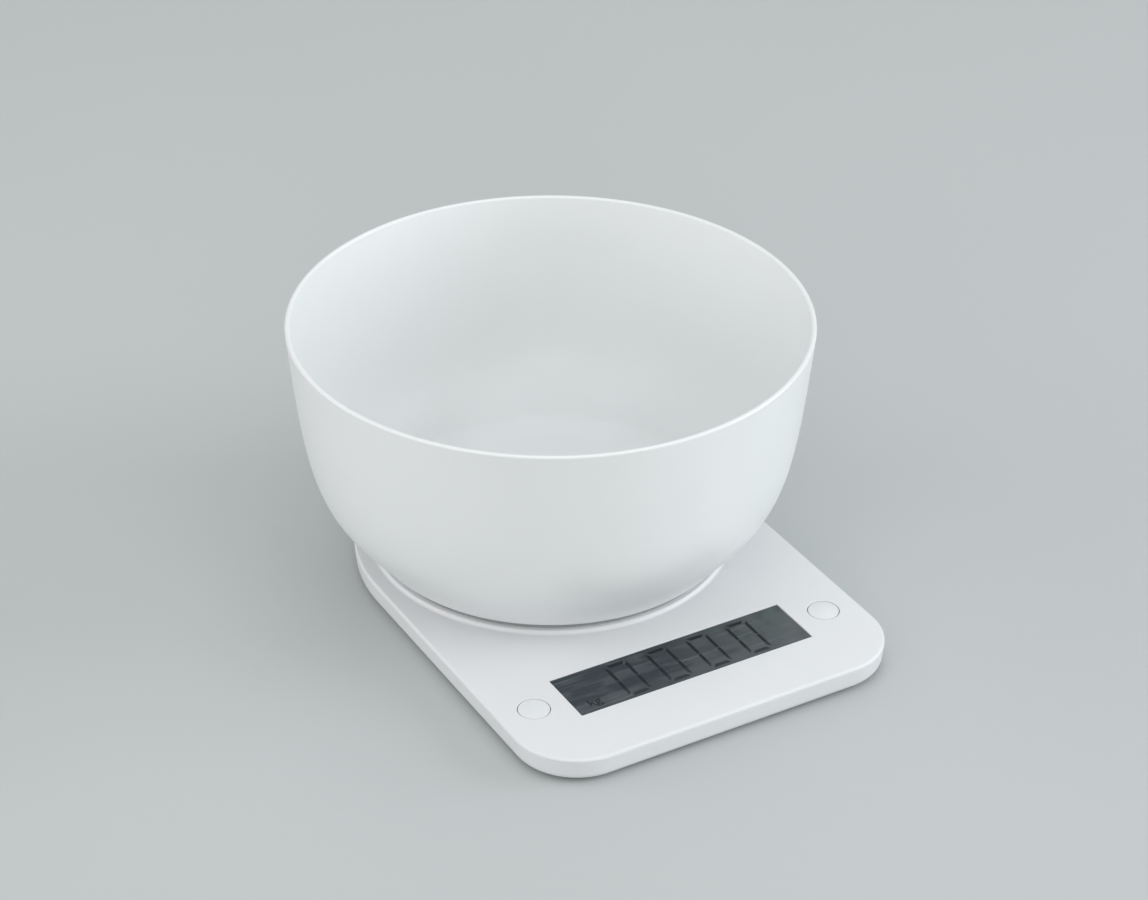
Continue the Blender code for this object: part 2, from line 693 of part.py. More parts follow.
def bowl():
    """One thin turned shell: inner floor and side, rim, outer side, foot ring and the recess inside it."""
    half_wall = BOWL_WALL / 2
    rim_z = RIM_Z - half_wall
    outer = [*bezier(*BOWL_BASE_CURVE, 4), *bezier(*BOWL_WALL_CURVE, 10)[1:], (BOWL_RADIUS, rim_z)]
    inner = [point for point in offset(outer, BOWL_WALL) if point[1] > BOWL_FLOOR_Z + 4.0]
    floor_edge = (BOWL_FLOOR_RADIUS, BOWL_FLOOR_Z)
    floor_turn = (BOWL_FLOOR_RADIUS + 6.0, BOWL_FLOOR_Z)
    wall_foot = (BOWL_FLOOR_RADIUS + 10.0, BOWL_FLOOR_Z + 1.4)
    foot_inner = BOWL_FOOT_RADIUS - BOWL_FOOT_WIDTH
    section = [
        (0.0, BOWL_FLOOR_Z),
        *bezier(floor_edge, floor_turn, wall_foot, inner[0], 4),
        *inner[1:-1],
        *arc((BOWL_RADIUS - half_wall, rim_z), half_wall, 180.0, 0.0, 4),
        *outer[-2::-1],
        (BOWL_FOOT_RADIUS, BOWL_FOOT_Z + 0.4),
        (BOWL_FOOT_RADIUS - 0.4, BOWL_FOOT_Z),
        (foot_inner, BOWL_FOOT_Z),
        (foot_inner, BOWL_RECESS_Z),
        (0.0, BOWL_RECESS_Z),
    ]
    turn(part("bowl", profile("bowl", section), WHITE_BOWL))


# ---------------------------------------------------------------- display and electronics


def display():
    """Window lens, liquid crystal panel in its frame, and the rubber strip that joins panel and board."""
    at = (0.0, DISPLAY_Y, 0.0)
    lens_size = [side - 2 * WINDOW_GAP for side in WINDOW_OPENING]
    round_edges(part("display_window", block("display_window", lens_size, WINDOW_Z), DARK_WINDOW, at), 0.15)
    part("lcd_panel", block("lcd_panel", LCD_SIZE, LCD_Z), DARK_GLASS, at)
    frame = part("lcd_frame", block("lcd_frame", LCD_FRAME_SIZE, LCD_FRAME_Z), BLACK_PLASTIC, at)
    pocket_size = [side + 0.6 for side in LCD_SIZE]
    back_size = [side - 3.2 for side in LCD_SIZE]
    pocket = block("lcd_pocket", pocket_size, (LCD_Z[0] - 0.2, LCD_Z[1] + OVERSHOOT))
    back = block("lcd_back", back_size, (LCD_FRAME_Z[0] - OVERSHOOT, LCD_Z[1]))
    cut(frame, tool("lcd_pocket", pocket, at), tool("lcd_back", back, at))
    connector = block("zebra_connector", (88.0, 1.8), (BOARD_Z[1] + 0.15, LCD_Z[0] - 0.15))
    part("zebra_connector", connector, GREY_RUBBER, (0.0, DISPLAY_Y + 8.0, 0.0))


def circuit_board():
    """The board, its two screws, and the parts soldered or potted on its underside."""
    at = (0.0, DISPLAY_Y, 0.0)
    board = part("circuit_board", block("circuit_board", BOARD_SIZE, BOARD_Z), GREEN_BOARD, at)
    through = (BOARD_Z[0] - OVERSHOOT, BOARD_Z[1] + OVERSHOOT)
    for side, x, y in BOARD_SCREWS:
        cut(board, tool(f"board_hole_{side}", rod("board_hole", 1.2, through), (x, y, 0.0)))
        screw(f"board_screw_{side}", (x, y, 0.0), BOARD_SCREW_HEAD, BOARD_SCREW_SHANK)
    low, high = CHIP_Z
    blob = [(0.0, high), (6.0, high), (5.6, high - 0.45), (4.0, low + 0.3), (0.0, low)]
    chip_at = (-20.0, DISPLAY_Y, 0.0)
    turn(part("controller_chip", profile("controller_chip", blob), BLACK_PLASTIC, chip_at), 20)
    converter = block("converter_chip", (10.0, 4.0), CHIP_Z)
    part("converter_chip", converter, BLACK_PLASTIC, (12.0, DISPLAY_Y, 0.0))
    capacitor_at = (24.0, DISPLAY_Y + 6.0, 0.0)
    part("filter_capacitor", block("filter_capacitor", (3.5, 2.8), CHIP_Z), SILICONE, capacitor_at)
    crystal_at = (-6.0, DISPLAY_Y - 6.0, 3.7)
    crystal = part("crystal", rod("crystal", 0.6, (-3.0, 3.0)), NICKEL, crystal_at)
    crystal.rotation_euler.y = math.radians(90.0)


def button(side, x):
    """A cap held under the top cover by its flange, the actuator it presses, and the switch."""
    at = (x, DISPLAY_Y, 0.0)
    top = PLATE_TOP_Z + BUTTON_DOME
    flange_low, flange_high = BUTTON_FLANGE_Z
    cap = [
        (0.0, top),
        (BUTTON_RADIUS * 0.5, top - 0.06),
        (BUTTON_RADIUS * 0.85, top - 0.18),
        (BUTTON_RADIUS, top - 0.5),
        (BUTTON_RADIUS, flange_high),
        (BUTTON_FLANGE_RADIUS, flange_high),
        (BUTTON_FLANGE_RADIUS, flange_low),
        (BUTTON_SKIRT_INNER, flange_low),
        (BUTTON_SKIRT_INNER, flange_high),
        (0.0, flange_high),
    ]
    turn(part(f"button_{side}", profile("button", cap), WHITE_BUTTON, at), 24)
    part(f"switch_actuator_{side}", rod("actuator", ACTUATOR_RADIUS, ACTUATOR_Z), BLACK_PLASTIC, at)
    switch = part(f"tact_switch_{side}", block("tact_switch", SWITCH_SIZE, SWITCH_Z), BLACK_PLASTIC, at)
    well = rod("actuator_well", ACTUATOR_RADIUS + 0.25, (ACTUATOR_Z[0] - 0.6, SWITCH_Z[1] + OVERSHOOT))
    cut(switch, tool(f"actuator_well_{side}", well, at))


# ---------------------------------------------------------------- battery


def battery_door():
    """Round door that a coin turns: flat face, ring, and two lugs that lock over the ledge."""
    x, y = BATTERY_AT
    section = [
        (0.0, DOOR_FACE_Z),
        (DOOR_RING_INNER, DOOR_FACE_Z),
        (DOOR_RING_INNER, LUG_Z[1]),
        (DOOR_RADIUS - 0.2, LUG_Z[1]),
        (DOOR_RADIUS, UNDERSIDE_Z + 0.3),
        (DOOR_RADIUS - 0.3, UNDERSIDE_Z),
        (0.0, UNDERSIDE_Z),
    ]
    door = turn(part("battery_door", profile("battery_door", section), WHITE_SHELL, (x, y, 0.0)), 36)
    length = LUG_REACH - DOOR_RING_INNER - OVERSHOOT
    for side, sign in (("left", -1.0), ("right", 1.0)):
        lug = block("lug", (length, LUG_WIDTH), LUG_Z)
        join(door, tool(f"lug_{side}", lug, (x + sign * (LUG_REACH - length / 2), y, 0.0)))
    slot = block("coin_slot", COIN_SLOT, (UNDERSIDE_Z - OVERSHOOT, UNDERSIDE_Z + 0.6))
    cut(door, tool("coin_slot", slot, (x, y, 0.0)))


def battery():
    """Coin cell, the leaf spring that touches its top, and the clip that touches its side."""
    x, y = BATTERY_AT
    low, high = COIN_Z
    cell = [
        (0.0, high),
        (COIN_RADIUS - 1.6, high),
        (COIN_RADIUS - 1.2, high - 0.3),
        (COIN_RADIUS, high - 0.6),
        (COIN_RADIUS, low + 0.3),
        (COIN_RADIUS - 0.3, low),
        (0.0, low),
    ]
    turn(part("coin_cell", profile("coin_cell", cell), NICKEL, (x, y, 0.0)), 36)
    leaf = [(-7.0, 6.75), (-3.0, 6.7), (2.5, 6.3), (5.0, 6.45)]
    strip("battery_contact_negative", leaf, 2.6, NICKEL, (x, y, 0.0))
    clip = [(0.0, 4.7), (-0.15, 5.6), (0.0, 6.6)]
    strip("battery_contact_positive", clip, 4.0, NICKEL, (x + COIN_RADIUS + 0.45, y, 0.0))


def cables():
    """Four wires from the load cell and two from the battery well, along the floor to the board."""
    board_edge = DISPLAY_Y + BOARD_SIZE[1] / 2 + 0.3
    board_z = sum(BOARD_Z) / 2
    looks = (("red", WIRE_RED), ("black", WIRE_BLACK), ("white", WIRE_WHITE), ("green", WIRE_GREEN))
    for k, (colour, look) in enumerate(looks):
        across = k - 1.5
        start = (WIRE_PITCH * across, -BEAM_SIZE[1] / 2 - 0.3, sum(BEAM_Z) / 2)
        end = (WIRE_PITCH * 0.65 * across, board_edge, board_z)
        route = (start, (start[0], start[1] - 14.0, 4.2), (end[0], end[1] + 18.0, 3.4), end)
        wire(f"load_cell_wire_{colour}", bezier(*route, 11), look)
    x, y = BATTERY_AT
    for k, (colour, look) in enumerate(looks[:2]):
        start = (x + k * 2.0, y - WELL_OUTER - 0.6, 5.2)
        end = (start[0] + 8.0, board_edge, board_z)
        route = (start, (start[0], start[1] - 16.0, 3.6), (end[0], end[1] + 20.0, 3.6), end)
        wire(f"battery_wire_{colour}", bezier(*route, 9), look)


clear_scene()
PARTS = new_collection("digital_gram_scale")
CUTTERS = new_collection("cutters")
AXIS = new_axis()

upper_housing()
lower_housing()
housing_screws()
feet()
load_cell()
load_cell_fixings()
strain_gauges()
weighing_platform()
bowl()
display()
circuit_board()
button("left", -BUTTON_X)
button("right", BUTTON_X)
battery_door()
battery()
cables()
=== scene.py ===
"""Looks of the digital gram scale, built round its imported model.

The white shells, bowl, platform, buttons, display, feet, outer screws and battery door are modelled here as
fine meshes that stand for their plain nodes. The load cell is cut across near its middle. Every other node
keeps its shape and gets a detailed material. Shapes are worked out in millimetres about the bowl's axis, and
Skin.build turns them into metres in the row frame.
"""

import math

import bmesh
import bpy
from mathutils import Matrix, Vector
from mathutils.geometry import delaunay_2d_cdt


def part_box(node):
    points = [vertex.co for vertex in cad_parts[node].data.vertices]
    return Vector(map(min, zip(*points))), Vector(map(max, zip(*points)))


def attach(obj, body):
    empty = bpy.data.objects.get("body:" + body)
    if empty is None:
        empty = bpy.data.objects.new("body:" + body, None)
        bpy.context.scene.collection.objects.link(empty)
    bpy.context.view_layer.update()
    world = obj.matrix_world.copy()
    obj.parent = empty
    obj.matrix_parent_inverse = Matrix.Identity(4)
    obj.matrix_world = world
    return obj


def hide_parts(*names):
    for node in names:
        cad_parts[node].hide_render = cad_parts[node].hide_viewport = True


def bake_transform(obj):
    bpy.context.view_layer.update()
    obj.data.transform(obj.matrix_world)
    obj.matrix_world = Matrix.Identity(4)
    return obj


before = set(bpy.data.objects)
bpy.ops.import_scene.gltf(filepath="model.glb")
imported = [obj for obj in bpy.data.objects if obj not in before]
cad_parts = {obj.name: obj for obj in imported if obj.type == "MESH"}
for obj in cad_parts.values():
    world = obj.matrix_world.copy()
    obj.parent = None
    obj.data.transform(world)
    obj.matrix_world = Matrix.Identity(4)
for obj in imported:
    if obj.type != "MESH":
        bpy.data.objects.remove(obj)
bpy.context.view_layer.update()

MM = 0.001
BOWL_LOW, BOWL_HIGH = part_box("bowl")
AXIS = Vector(((BOWL_LOW.x + BOWL_HIGH.x) / 2, (BOWL_LOW.y + BOWL_HIGH.y) / 2, 0.0))


def node_box(node):
    """A node's lowest and highest corners, in millimetres about the bowl's axis."""
    low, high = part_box(node)
    return (low - AXIS) / MM, (high - AXIS) / MM


def node_middle(node):
    low, high = node_box(node)
    return (low + high) / 2


# ---------------------------------------------------------------- sizes

# Plate, from its two nodes, with the sizes of its edges.
UPPER_LOW, UPPER_HIGH = node_box("upper_housing")
LOWER_LOW, LOWER_HIGH = node_box("lower_housing")
HALF_WIDTH = UPPER_HIGH.x
PLATE_FRONT = -UPPER_LOW.y
PLATE_CORNER = 25.0
PLATE_TOP_Z = 11.0
SEAM_Z = LOWER_HIGH.z
COVER_BOTTOM_Z = SEAM_Z + 0.12
TOP_EDGE = 1.05
SEAM_ROUND = 0.2
SEAM_DROPS = (0.1, 0.3)
LIP = (2.5, 3.7)
LIP_BOTTOM_Z = 8.2
CEILING_Z = 9.3
UNDERSIDE_Z = LOWER_LOW.z
FLOOR_Z = 2.8
BOTTOM_EDGE = 2.7
WALL_DRAFT = 0.5
WALL_INSET = 2.2
WALL_FOOT = ((0.6, 1.4), (2.0, 0.0))

# Collar round the platform.
COLLAR_TOP_Z = UPPER_HIGH.z
COLLAR_INNER = 67.8
COLLAR_SKIRT = 1.8
COLLAR_SKIRT_Z = 8.6
COLLAR_CREST = 69.6
COLLAR_INNER_ROUND = 0.4
COLLAR_OUTER_ROUND = 0.8
COLLAR_FILLET = 1.2

# Bowl.
RIM_RADIUS = (BOWL_HIGH.x - BOWL_LOW.x) / 2 / MM
RIM_Z = BOWL_HIGH.z / MM
FOOT_Z = BOWL_LOW.z / MM
BOWL_WALL = 2.0
BOWL_RIM_ROUND = 0.85
BOWL_BASE_CURVE = ((65.4, 12.5), (70.6, 15.1), (70.7, 15.1), (72.1, 16.8))
BOWL_WALL_CURVE = ((72.1, 16.8), (89.2, 38.1), (93.4, 37.9), (98.4, 90.2))
BOWL_FOOT_RADIUS = 65.2
BOWL_FOOT_WIDTH = 2.6
BOWL_RECESS_Z = 12.4
BOWL_FLOOR_Z = 14.4
BOWL_FLOOR_RADIUS = 56.0
BOWL_FLOOR_TURN = 6.0
BOWL_WALL_FOOT = (10.0, 1.4)
BOWL_INNER_START_Z = BOWL_FLOOR_Z + 4.0
BOWL_FOOT_ROUND = 0.45
BOWL_FOOT_LIP = 0.3

# Platform: its round edge, its lip, and a shallow ring as radii and depths.
PLATFORM_EDGE = 0.5
PLATFORM_LIP = 1.3
PLATFORM_UNDERSIDE_Z = 10.05
PLATFORM_GROOVE = ((61.6, 0.0), (61.9, 0.12), (62.3, 0.12), (62.6, 0.0))

# Display window and buttons. BUTTON_EDGE_START is the angle at which a button's edge meets its dome.
LENS_LOW, LENS_HIGH = node_box("display_window")
DISPLAY_Y = (LENS_LOW.y + LENS_HIGH.y) / 2
LENS_SIZE = (LENS_HIGH.x - LENS_LOW.x, LENS_HIGH.y - LENS_LOW.y)
LENS_GAP = 0.15
LENS_EDGE = 0.1
LENS_EDGE_STEP = 0.03
WINDOW_VIEW = (95.0, 20.4)
WINDOW_REBATE_Z = 9.7
WINDOW_CORNER = 0.35
BUTTON_RADIUS = 5.9
BUTTON_HOLE_RADIUS = 6.15
BUTTON_FLANGE = (7.2, 8.5, 9.05)
BUTTON_SKIRT_INNER = 4.7
BUTTON_DOME = 0.28
BUTTON_EDGE = 0.4
BUTTON_EDGE_START = 84.0
OPENING_ROUND = 0.28

# Figures of the display and the ends of their bars, the pitch, the first figure's place, and the unit.
DIGIT_TOP = -88.5
DIGIT_HEIGHT = 20.3
DIGIT_HALF_WIDTH = 4.8
DIGIT_BAR = 1.3
DIGIT_CAP = ((-3.7, 0.0), (3.7, 0.0), (2.5, -1.7), (-2.5, -1.7))
SIDE_BAR_TOP = (1.1, 2.4)
SIDE_BAR_END = (0.6, 0.2)
DIGIT_PITCH = 17.4
DIGIT_FIRST_X = -23.4
DIGIT_COUNT = 4
UNIT_HEIGHT = 6.0
UNIT_PLACE = (-44.2, -107.0)
INK_THICKNESS = 0.02

# Battery door, its opening with two notches, and the well above it.
DOOR_MIDDLE = node_middle("battery_door")
DOOR_RADIUS = 14.0
DOOR_OPENING = 14.3
DOOR_NOTCH_REACH = 15.8
DOOR_NOTCH_HALF_WIDTH = 3.9
DOOR_TURN = -40.0
DOOR_RING_INNER = 11.0
DOOR_RING_DRAFT = 0.2
DOOR_FACE_Z = 2.6
DOOR_EDGE = 0.35
LUG_Z = (3.05, 3.9)
LUG_REACH = 15.5
LUG_WIDTH = 7.0
LUG_ROOT = 1.0
LUG_ROUND = 0.3
COIN_SLOT = (15.0, 1.8)
COIN_SLOT_ROUND = 0.85
COIN_SLOT_DEPTH = 0.6
WELL_OUTER = 17.8
WELL_TOP_Z = 8.0
WELL_ROOF_Z = 7.0
LUG_CAVITY = (16.4, 4.2)
COIN_BORE = 10.7

# Raised marks: heights above the underside, the door's pointer, and the tray's dot and ring.
MARK_Z = (UNDERSIDE_Z - 0.12, UNDERSIDE_Z + 0.05)
POINTER_TIP = 11.6
POINTER_LENGTH = 2.2
POINTER_HALF_WIDTH = 1.3
LOCK_MARK_REACH = DOOR_OPENING + 3.2
LOCK_DOT_RADIUS = 0.9
LOCK_RING = (0.6, 0.95)
LOCK_MARK_STEPS = 32

# Feet and screws. A shape of screw is its shank's radius and its head's height.
FOOT_EDGE = 0.5
FOOT_GROOVE = ((4.6, 0.0), (4.4, 0.18), (3.9, 0.18), (3.7, 0.0))
BROAD_HEAD_RADIUS = 2.5
BROAD_SCREW = (1.3, 1.2)
NARROW_SCREW = (0.85, 1.05)
HEAD_DOME = 0.22
CROSS_ARM = 0.58
CROSS_HALF_WIDTH = 0.13
CROSS_DEPTH = 0.5
STOP_SLOT_LENGTH = 1.5
STOP_SLOT_WIDTH = 0.5
STOP_SLOT_ROUND = 0.1
STOP_SLOT_DEPTH = 0.4

# Load cell: how far the cuts reach from its middle, and the number of cuts on each side.
BEND_REACH = 8.0 * MM
BEND_CUTS = 6

# Holes in the underside, and how far in the middle of a small round lies, as a share of the round.
FOOT_NODES = ("foot_front_left", "foot_front_right", "foot_back_left", "foot_back_right")
SCREW_NODES = tuple(n for n in sorted(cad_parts) if n.startswith("housing_screw"))
BEAM_SCREW_NODES = ("load_cell_screw_1", "load_cell_screw_2")
FOOT_POCKET = (7.3, 2.1)
COUNTERBORE = (2.3, 2.45)
BEAM_SEAT = (2.99, 1.7, 2.7)
STOP_HOLE = (1.7, 2.7)
HOLE_ROUND = 0.15
ROUND_MIDDLE = 0.3

# Sides of round shapes, of the plate's back and corners, and of the battery opening's arcs.
LARGE_STEPS = 256
MEDIUM_STEPS = 96
SMALL_STEPS = 48
BACK_STEPS = 128
CORNER_STEPS = 24
NOTCHED_STEPS = 28

# Meshes: points nearer each other than this are one, and an edge that turns by more degrees stays sharp.
MERGE_DISTANCE = 0.002
SHARP_ANGLE = 40.0


# ---------------------------------------------------------------- outlines and profiles


def arc(centre, radius, start, end, steps):
    """Points on an arc between two angles in degrees, both ends included."""
    angles = [math.radians(start + (end - start) * k / steps) for k in range(steps + 1)]
    return [(centre[0] + radius * math.cos(a), centre[1] + radius * math.sin(a)) for a in angles]


def circle(centre, radius, steps=SMALL_STEPS):
    return arc(centre, radius, 0.0, 360.0 * (steps - 1) / steps, steps - 1)


def bezier(p0, p1, p2, p3, steps):
    """Points along a cubic Bezier curve, both ends included."""
    points = []
    for k in range(steps + 1):
        t = k / steps
        weights = ((1 - t) ** 3, 3 * t * (1 - t) ** 2, 3 * t * t * (1 - t), t**3)
        corners = (p0, p1, p2, p3)
        points.append(tuple(sum(w * c[axis] for w, c in zip(weights, corners)) for axis in range(2)))
    return points


def offset(points, distance):
    """The points moved sideways, to the left of the way that they run."""
    moved = []
    for k, point in enumerate(points):
        before = Vector(points[max(k - 1, 0)])
        after = Vector(points[min(k + 1, len(points) - 1)])
        along = (after - before).normalized()
        moved.append((point[0] - along.y * distance, point[1] + along.x * distance))
    return moved


def turned_point(centre, point, degrees):
    """A point given along and across a direction, seen from a centre, turned anticlockwise about it."""
    turn = math.radians(degrees)
    along, across = point
    x = along * math.cos(turn) - across * math.sin(turn)
    y = along * math.sin(turn) + across * math.cos(turn)
    return (centre[0] + x, centre[1] + y)


def plate_outline(inset):
    """The plate's outline moved inwards: a half circle at the back, straight sides and two front corners."""
    corner_x = HALF_WIDTH - PLATE_CORNER
    corner_y = PLATE_CORNER - PLATE_FRONT
    radius = PLATE_CORNER - inset
    back = arc((0.0, 0.0), HALF_WIDTH - inset, 0.0, 180.0, BACK_STEPS)
    left = arc((-corner_x, corner_y), radius, 180.0, 270.0, CORNER_STEPS)
    right = arc((corner_x, corner_y), radius, 270.0, 360.0, CORNER_STEPS)
    return back + left + right


def rounded_box(centre, size, radius, steps=5):
    """A rectangle with round corners, anticlockwise."""
    half_x = size[0] / 2 - radius
    half_y = size[1] / 2 - radius
    loop = []
    for k, (sx, sy) in enumerate(((1, 1), (-1, 1), (-1, -1), (1, -1))):
        corner = (centre[0] + sx * half_x, centre[1] + sy * half_y)
        loop += arc(corner, radius, 90.0 * k, 90.0 * (k + 1), steps)
    return loop


def notched_circle(centre, radius):
    """The battery opening: a circle with a square notch on each side, turned by DOOR_TURN."""
    half_angle = math.degrees(math.asin(DOOR_NOTCH_HALF_WIDTH / radius))
    loop = []
    for side in (0.0, 180.0):
        for across in (-DOOR_NOTCH_HALF_WIDTH, DOOR_NOTCH_HALF_WIDTH):
            loop.append(turned_point(centre, (DOOR_NOTCH_REACH, across), DOOR_TURN + side))
        first = DOOR_TURN + side + half_angle
        loop += arc(centre, radius, first, first + 180.0 - 2 * half_angle, NOTCHED_STEPS)
    return loop


def lifted(loop, z):
    return [(x, y, z) for x, y in loop]


def inside(point, loop):
    """True if a flat point lies within a loop, by counting the sides that a ray from it crosses."""
    x, y = point[:2]
    odd = False
    for (x0, y0), (x1, y1) in zip(loop, loop[1:] + loop[:1]):
        if (y0 > y) != (y1 > y) and x < x0 + (y - y0) * (x1 - x0) / (y1 - y0):
            odd = not odd
    return odd


class Skin:
    """A closed surface put together from walls and flat fills, in millimetres about the bowl's axis."""

    def __init__(self):
        self.bm = bmesh.new()

    def wall(self, *rings):
        """Joins rings of points, each as long as the last."""
        made = [[self.bm.verts.new(point) for point in ring] for ring in rings]
        for lower, upper in zip(made, made[1:]):
            for k in range(len(lower)):
                self.bm.faces.new((lower[k - 1], lower[k], upper[k], upper[k - 1]))

    def fill(self, z, outer, holes=()):
        """Fills the flat area between an outline and the holes in it."""
        points = []
        edges = []
        for loop in (outer, *holes):
            first = len(points)
            count = len(loop)
            points += [Vector(point) for point in loop]
            edges += [(first + k, first + (k + 1) % count) for k in range(count)]
        flat, _, faces, _, _, _ = delaunay_2d_cdt(points, edges, [], 0, 1e-5)
        verts = [self.bm.verts.new((point.x, point.y, z)) for point in flat]
        for face in faces:
            middle = sum((flat[k] for k in face), Vector((0.0, 0.0))) / len(face)
            if inside(middle, outer) and not any(inside(middle, hole) for hole in holes):
                self.bm.faces.new([verts[k] for k in face])

    def prism(self, loop, low, high):
        self.wall(lifted(loop, low), lifted(loop, high))
        self.fill(low, loop)
        self.fill(high, loop)

    def turned(self, profile, steps=LARGE_STEPS, centre=(0.0, 0.0)):
        """A profile of (radius, height) points turned about a vertical axis."""
        self.wall(*[lifted(circle(centre, radius, steps), z) for radius, z in profile])

    def build(self, name):
        """The finished object in metres, smooth except where it turns by more than SHARP_ANGLE."""
        bmesh.ops.remove_doubles(self.bm, verts=self.bm.verts, dist=MERGE_DISTANCE)
        loose = [vert for vert in self.bm.verts if not vert.link_faces]
        bmesh.ops.delete(self.bm, geom=loose, context="VERTS")
        bmesh.ops.recalc_face_normals(self.bm, faces=self.bm.faces)
        for vert in self.bm.verts:
            vert.co = vert.co * MM + AXIS
        mesh = bpy.data.meshes.new(name)
        self.bm.to_mesh(mesh)
        self.bm.free()
        mesh.shade_smooth()
        mesh.set_sharp_from_angle(angle=math.radians(SHARP_ANGLE))
        obj = bpy.data.objects.new(name, mesh)
        bpy.context.scene.collection.objects.link(obj)
        weighted = obj.modifiers.new("Flat faces stay flat", "WEIGHTED_NORMAL")
        weighted.keep_sharp = True
        return obj


def finish_piece(obj, body, look, stands_for=()):
    """Gives a new object its material and its body, and hides the nodes that it stands for."""
    obj.data.materials.clear()
    obj.data.materials.append(look)
    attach(obj, body)
    if stands_for:
        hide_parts(*stands_for)


# ---------------------------------------------------------------- materials

# Window: how much it reflects, then, in metres in the row frame, where its painted reflection, a lighter and
# greener right end, begins and is full, where its painted sheen, a paler strip along the front, fades out,
# and where the darker ink of the unit ends. A wipe or a scratch direction is a turn in degrees and a stretch
# along each axis.
WINDOW_SPECULAR = 0.22
PAINTED_REFLECTION_X = (-0.012, 0.05)
SHEEN_EDGE = (-0.0875, -0.0855)
UNIT_EDGE = (-0.034, -0.032)
INK_COLOUR = (0.015, 0.018, 0.021)
WIPE_TURN = 32.0
WIPE_STRETCH = (26.0, 90.0, 1.0)
SCRATCH_DIRECTIONS = (
    (-33.0, (9.0, 420.0, 1.0)),
    (31.0, (14.0, 560.0, 1.0)),
    (68.0, (16.0, 640.0, 1.0)),
)


class Look:
    """A node-based material: a Principled BSDF with noise-driven colour, roughness and bump."""

    def __init__(self, name, colour, roughness, metallic=0.0):
        self.made = bpy.data.materials.new(name)
        self.made.use_nodes = True
        self.tree = self.made.node_tree
        self.shader = self.tree.nodes["Principled BSDF"]
        self.shader.inputs["Metallic"].default_value = metallic
        self.colour = colour
        self.set("Base Color", (*colour, 1.0))
        self.set("Roughness", roughness)
        self.place = self.node("ShaderNodeTexCoord").outputs["Object"]

    def node(self, kind, **settings):
        made = self.tree.nodes.new(kind)
        for key, value in settings.items():
            setattr(made, key, value)
        return made

    def set(self, name, value):
        self.shader.inputs[name].default_value = value

    def link(self, start, end):
        self.tree.links.new(start, end)

    def stretched(self, stretch, turned=0.0):
        """Object coordinates scaled along each axis after a turn about Z in degrees."""
        mapping = self.node("ShaderNodeMapping")
        mapping.inputs["Rotation"].default_value = (0.0, 0.0, math.radians(turned))
        mapping.inputs["Scale"].default_value = stretch
        self.link(self.place, mapping.inputs["Vector"])
        return mapping.outputs["Vector"]

    def noise(self, scale, detail=3.0, where=None):
        made = self.node("ShaderNodeTexNoise")
        made.inputs["Scale"].default_value = scale
        made.inputs["Detail"].default_value = detail
        self.link(where or self.place, made.inputs["Vector"])
        return made.outputs["Fac"]

    def spread(self, value, low, high, start=0.3, end=0.7):
        """Maps a 0 to 1 value between start and end to low and high."""
        made = self.node("ShaderNodeMapRange")
        for key, number in (("From Min", start), ("From Max", end), ("To Min", low), ("To Max", high)):
            made.inputs[key].default_value = number
        self.link(value, made.inputs["Value"])
        return made.outputs["Result"]

    def blend(self, factor, first, second):
        """A colour between two others. Each is a colour or a socket."""
        made = self.node("ShaderNodeMix", data_type="RGBA")
        self.link(factor, made.inputs["Factor"])
        for key, value in (("A", first), ("B", second)):
            socket = next(s for s in made.inputs if s.name == key and s.type == "RGBA")
            if isinstance(value, tuple):
                socket.default_value = (*value, 1.0)
            else:
                self.link(value, socket)
        return next(s for s in made.outputs if s.type == "RGBA")

    def mottled(self, scale, depth):
        """Slow light and dark variation of the base colour."""
        darker = tuple(channel * (1.0 - depth) for channel in self.colour)
        colour = self.blend(self.spread(self.noise(scale), 0.0, 1.0), darker, self.colour)
        self.link(colour, self.shader.inputs["Base Color"])

    def rough(self, scale, low, high):
        """Slow variation of the roughness."""
        self.link(self.spread(self.noise(scale), low, high), self.shader.inputs["Roughness"])

    def bumped(self, height, distance):
        """Bump by a height socket, whose full swing is a distance in metres."""
        bump = self.node("ShaderNodeBump")
        bump.inputs["Strength"].default_value = 1.0
        bump.inputs["Distance"].default_value = distance
        self.link(height, bump.inputs["Height"])
        self.link(bump.outputs["Normal"], self.shader.inputs["Normal"])


def moulded(name, colour, roughness, grain=1300.0, depth=0.000004, mottling=0.02):
    """Injection-moulded plastic: a fine spark-eroded grain, and a roughness that drifts a little."""
    look = Look(name, colour, roughness)
    look.mottled(28.0, mottling)
    look.rough(65.0, roughness - 0.035, roughness + 0.035)
    look.bumped(look.noise(grain, 2.0), depth)
    look.set("IOR", 1.49)
    return look


def metal(name, colour, roughness, stretch=(40.0, 4.0, 40.0)):
    """Metal with fine lines left by a cutter or a roller."""
    look = Look(name, colour, roughness, metallic=1.0)
    look.mottled(120.0, 0.08)
    lines = look.noise(90.0, 4.0, look.stretched(stretch))
    look.link(look.spread(lines, roughness - 0.08, roughness + 0.12), look.shader.inputs["Roughness"])
    look.bumped(lines, 0.000008)
    return look


def rubber(name, colour, roughness=0.75):
    """Dull rubber or soft cable sheath with a coarse skin."""
    look = Look(name, colour, roughness)
    look.mottled(160.0, 0.18)
    look.rough(300.0, roughness - 0.1, roughness + 0.1)
    look.bumped(look.noise(2600.0, 4.0), 0.00004)
    return look


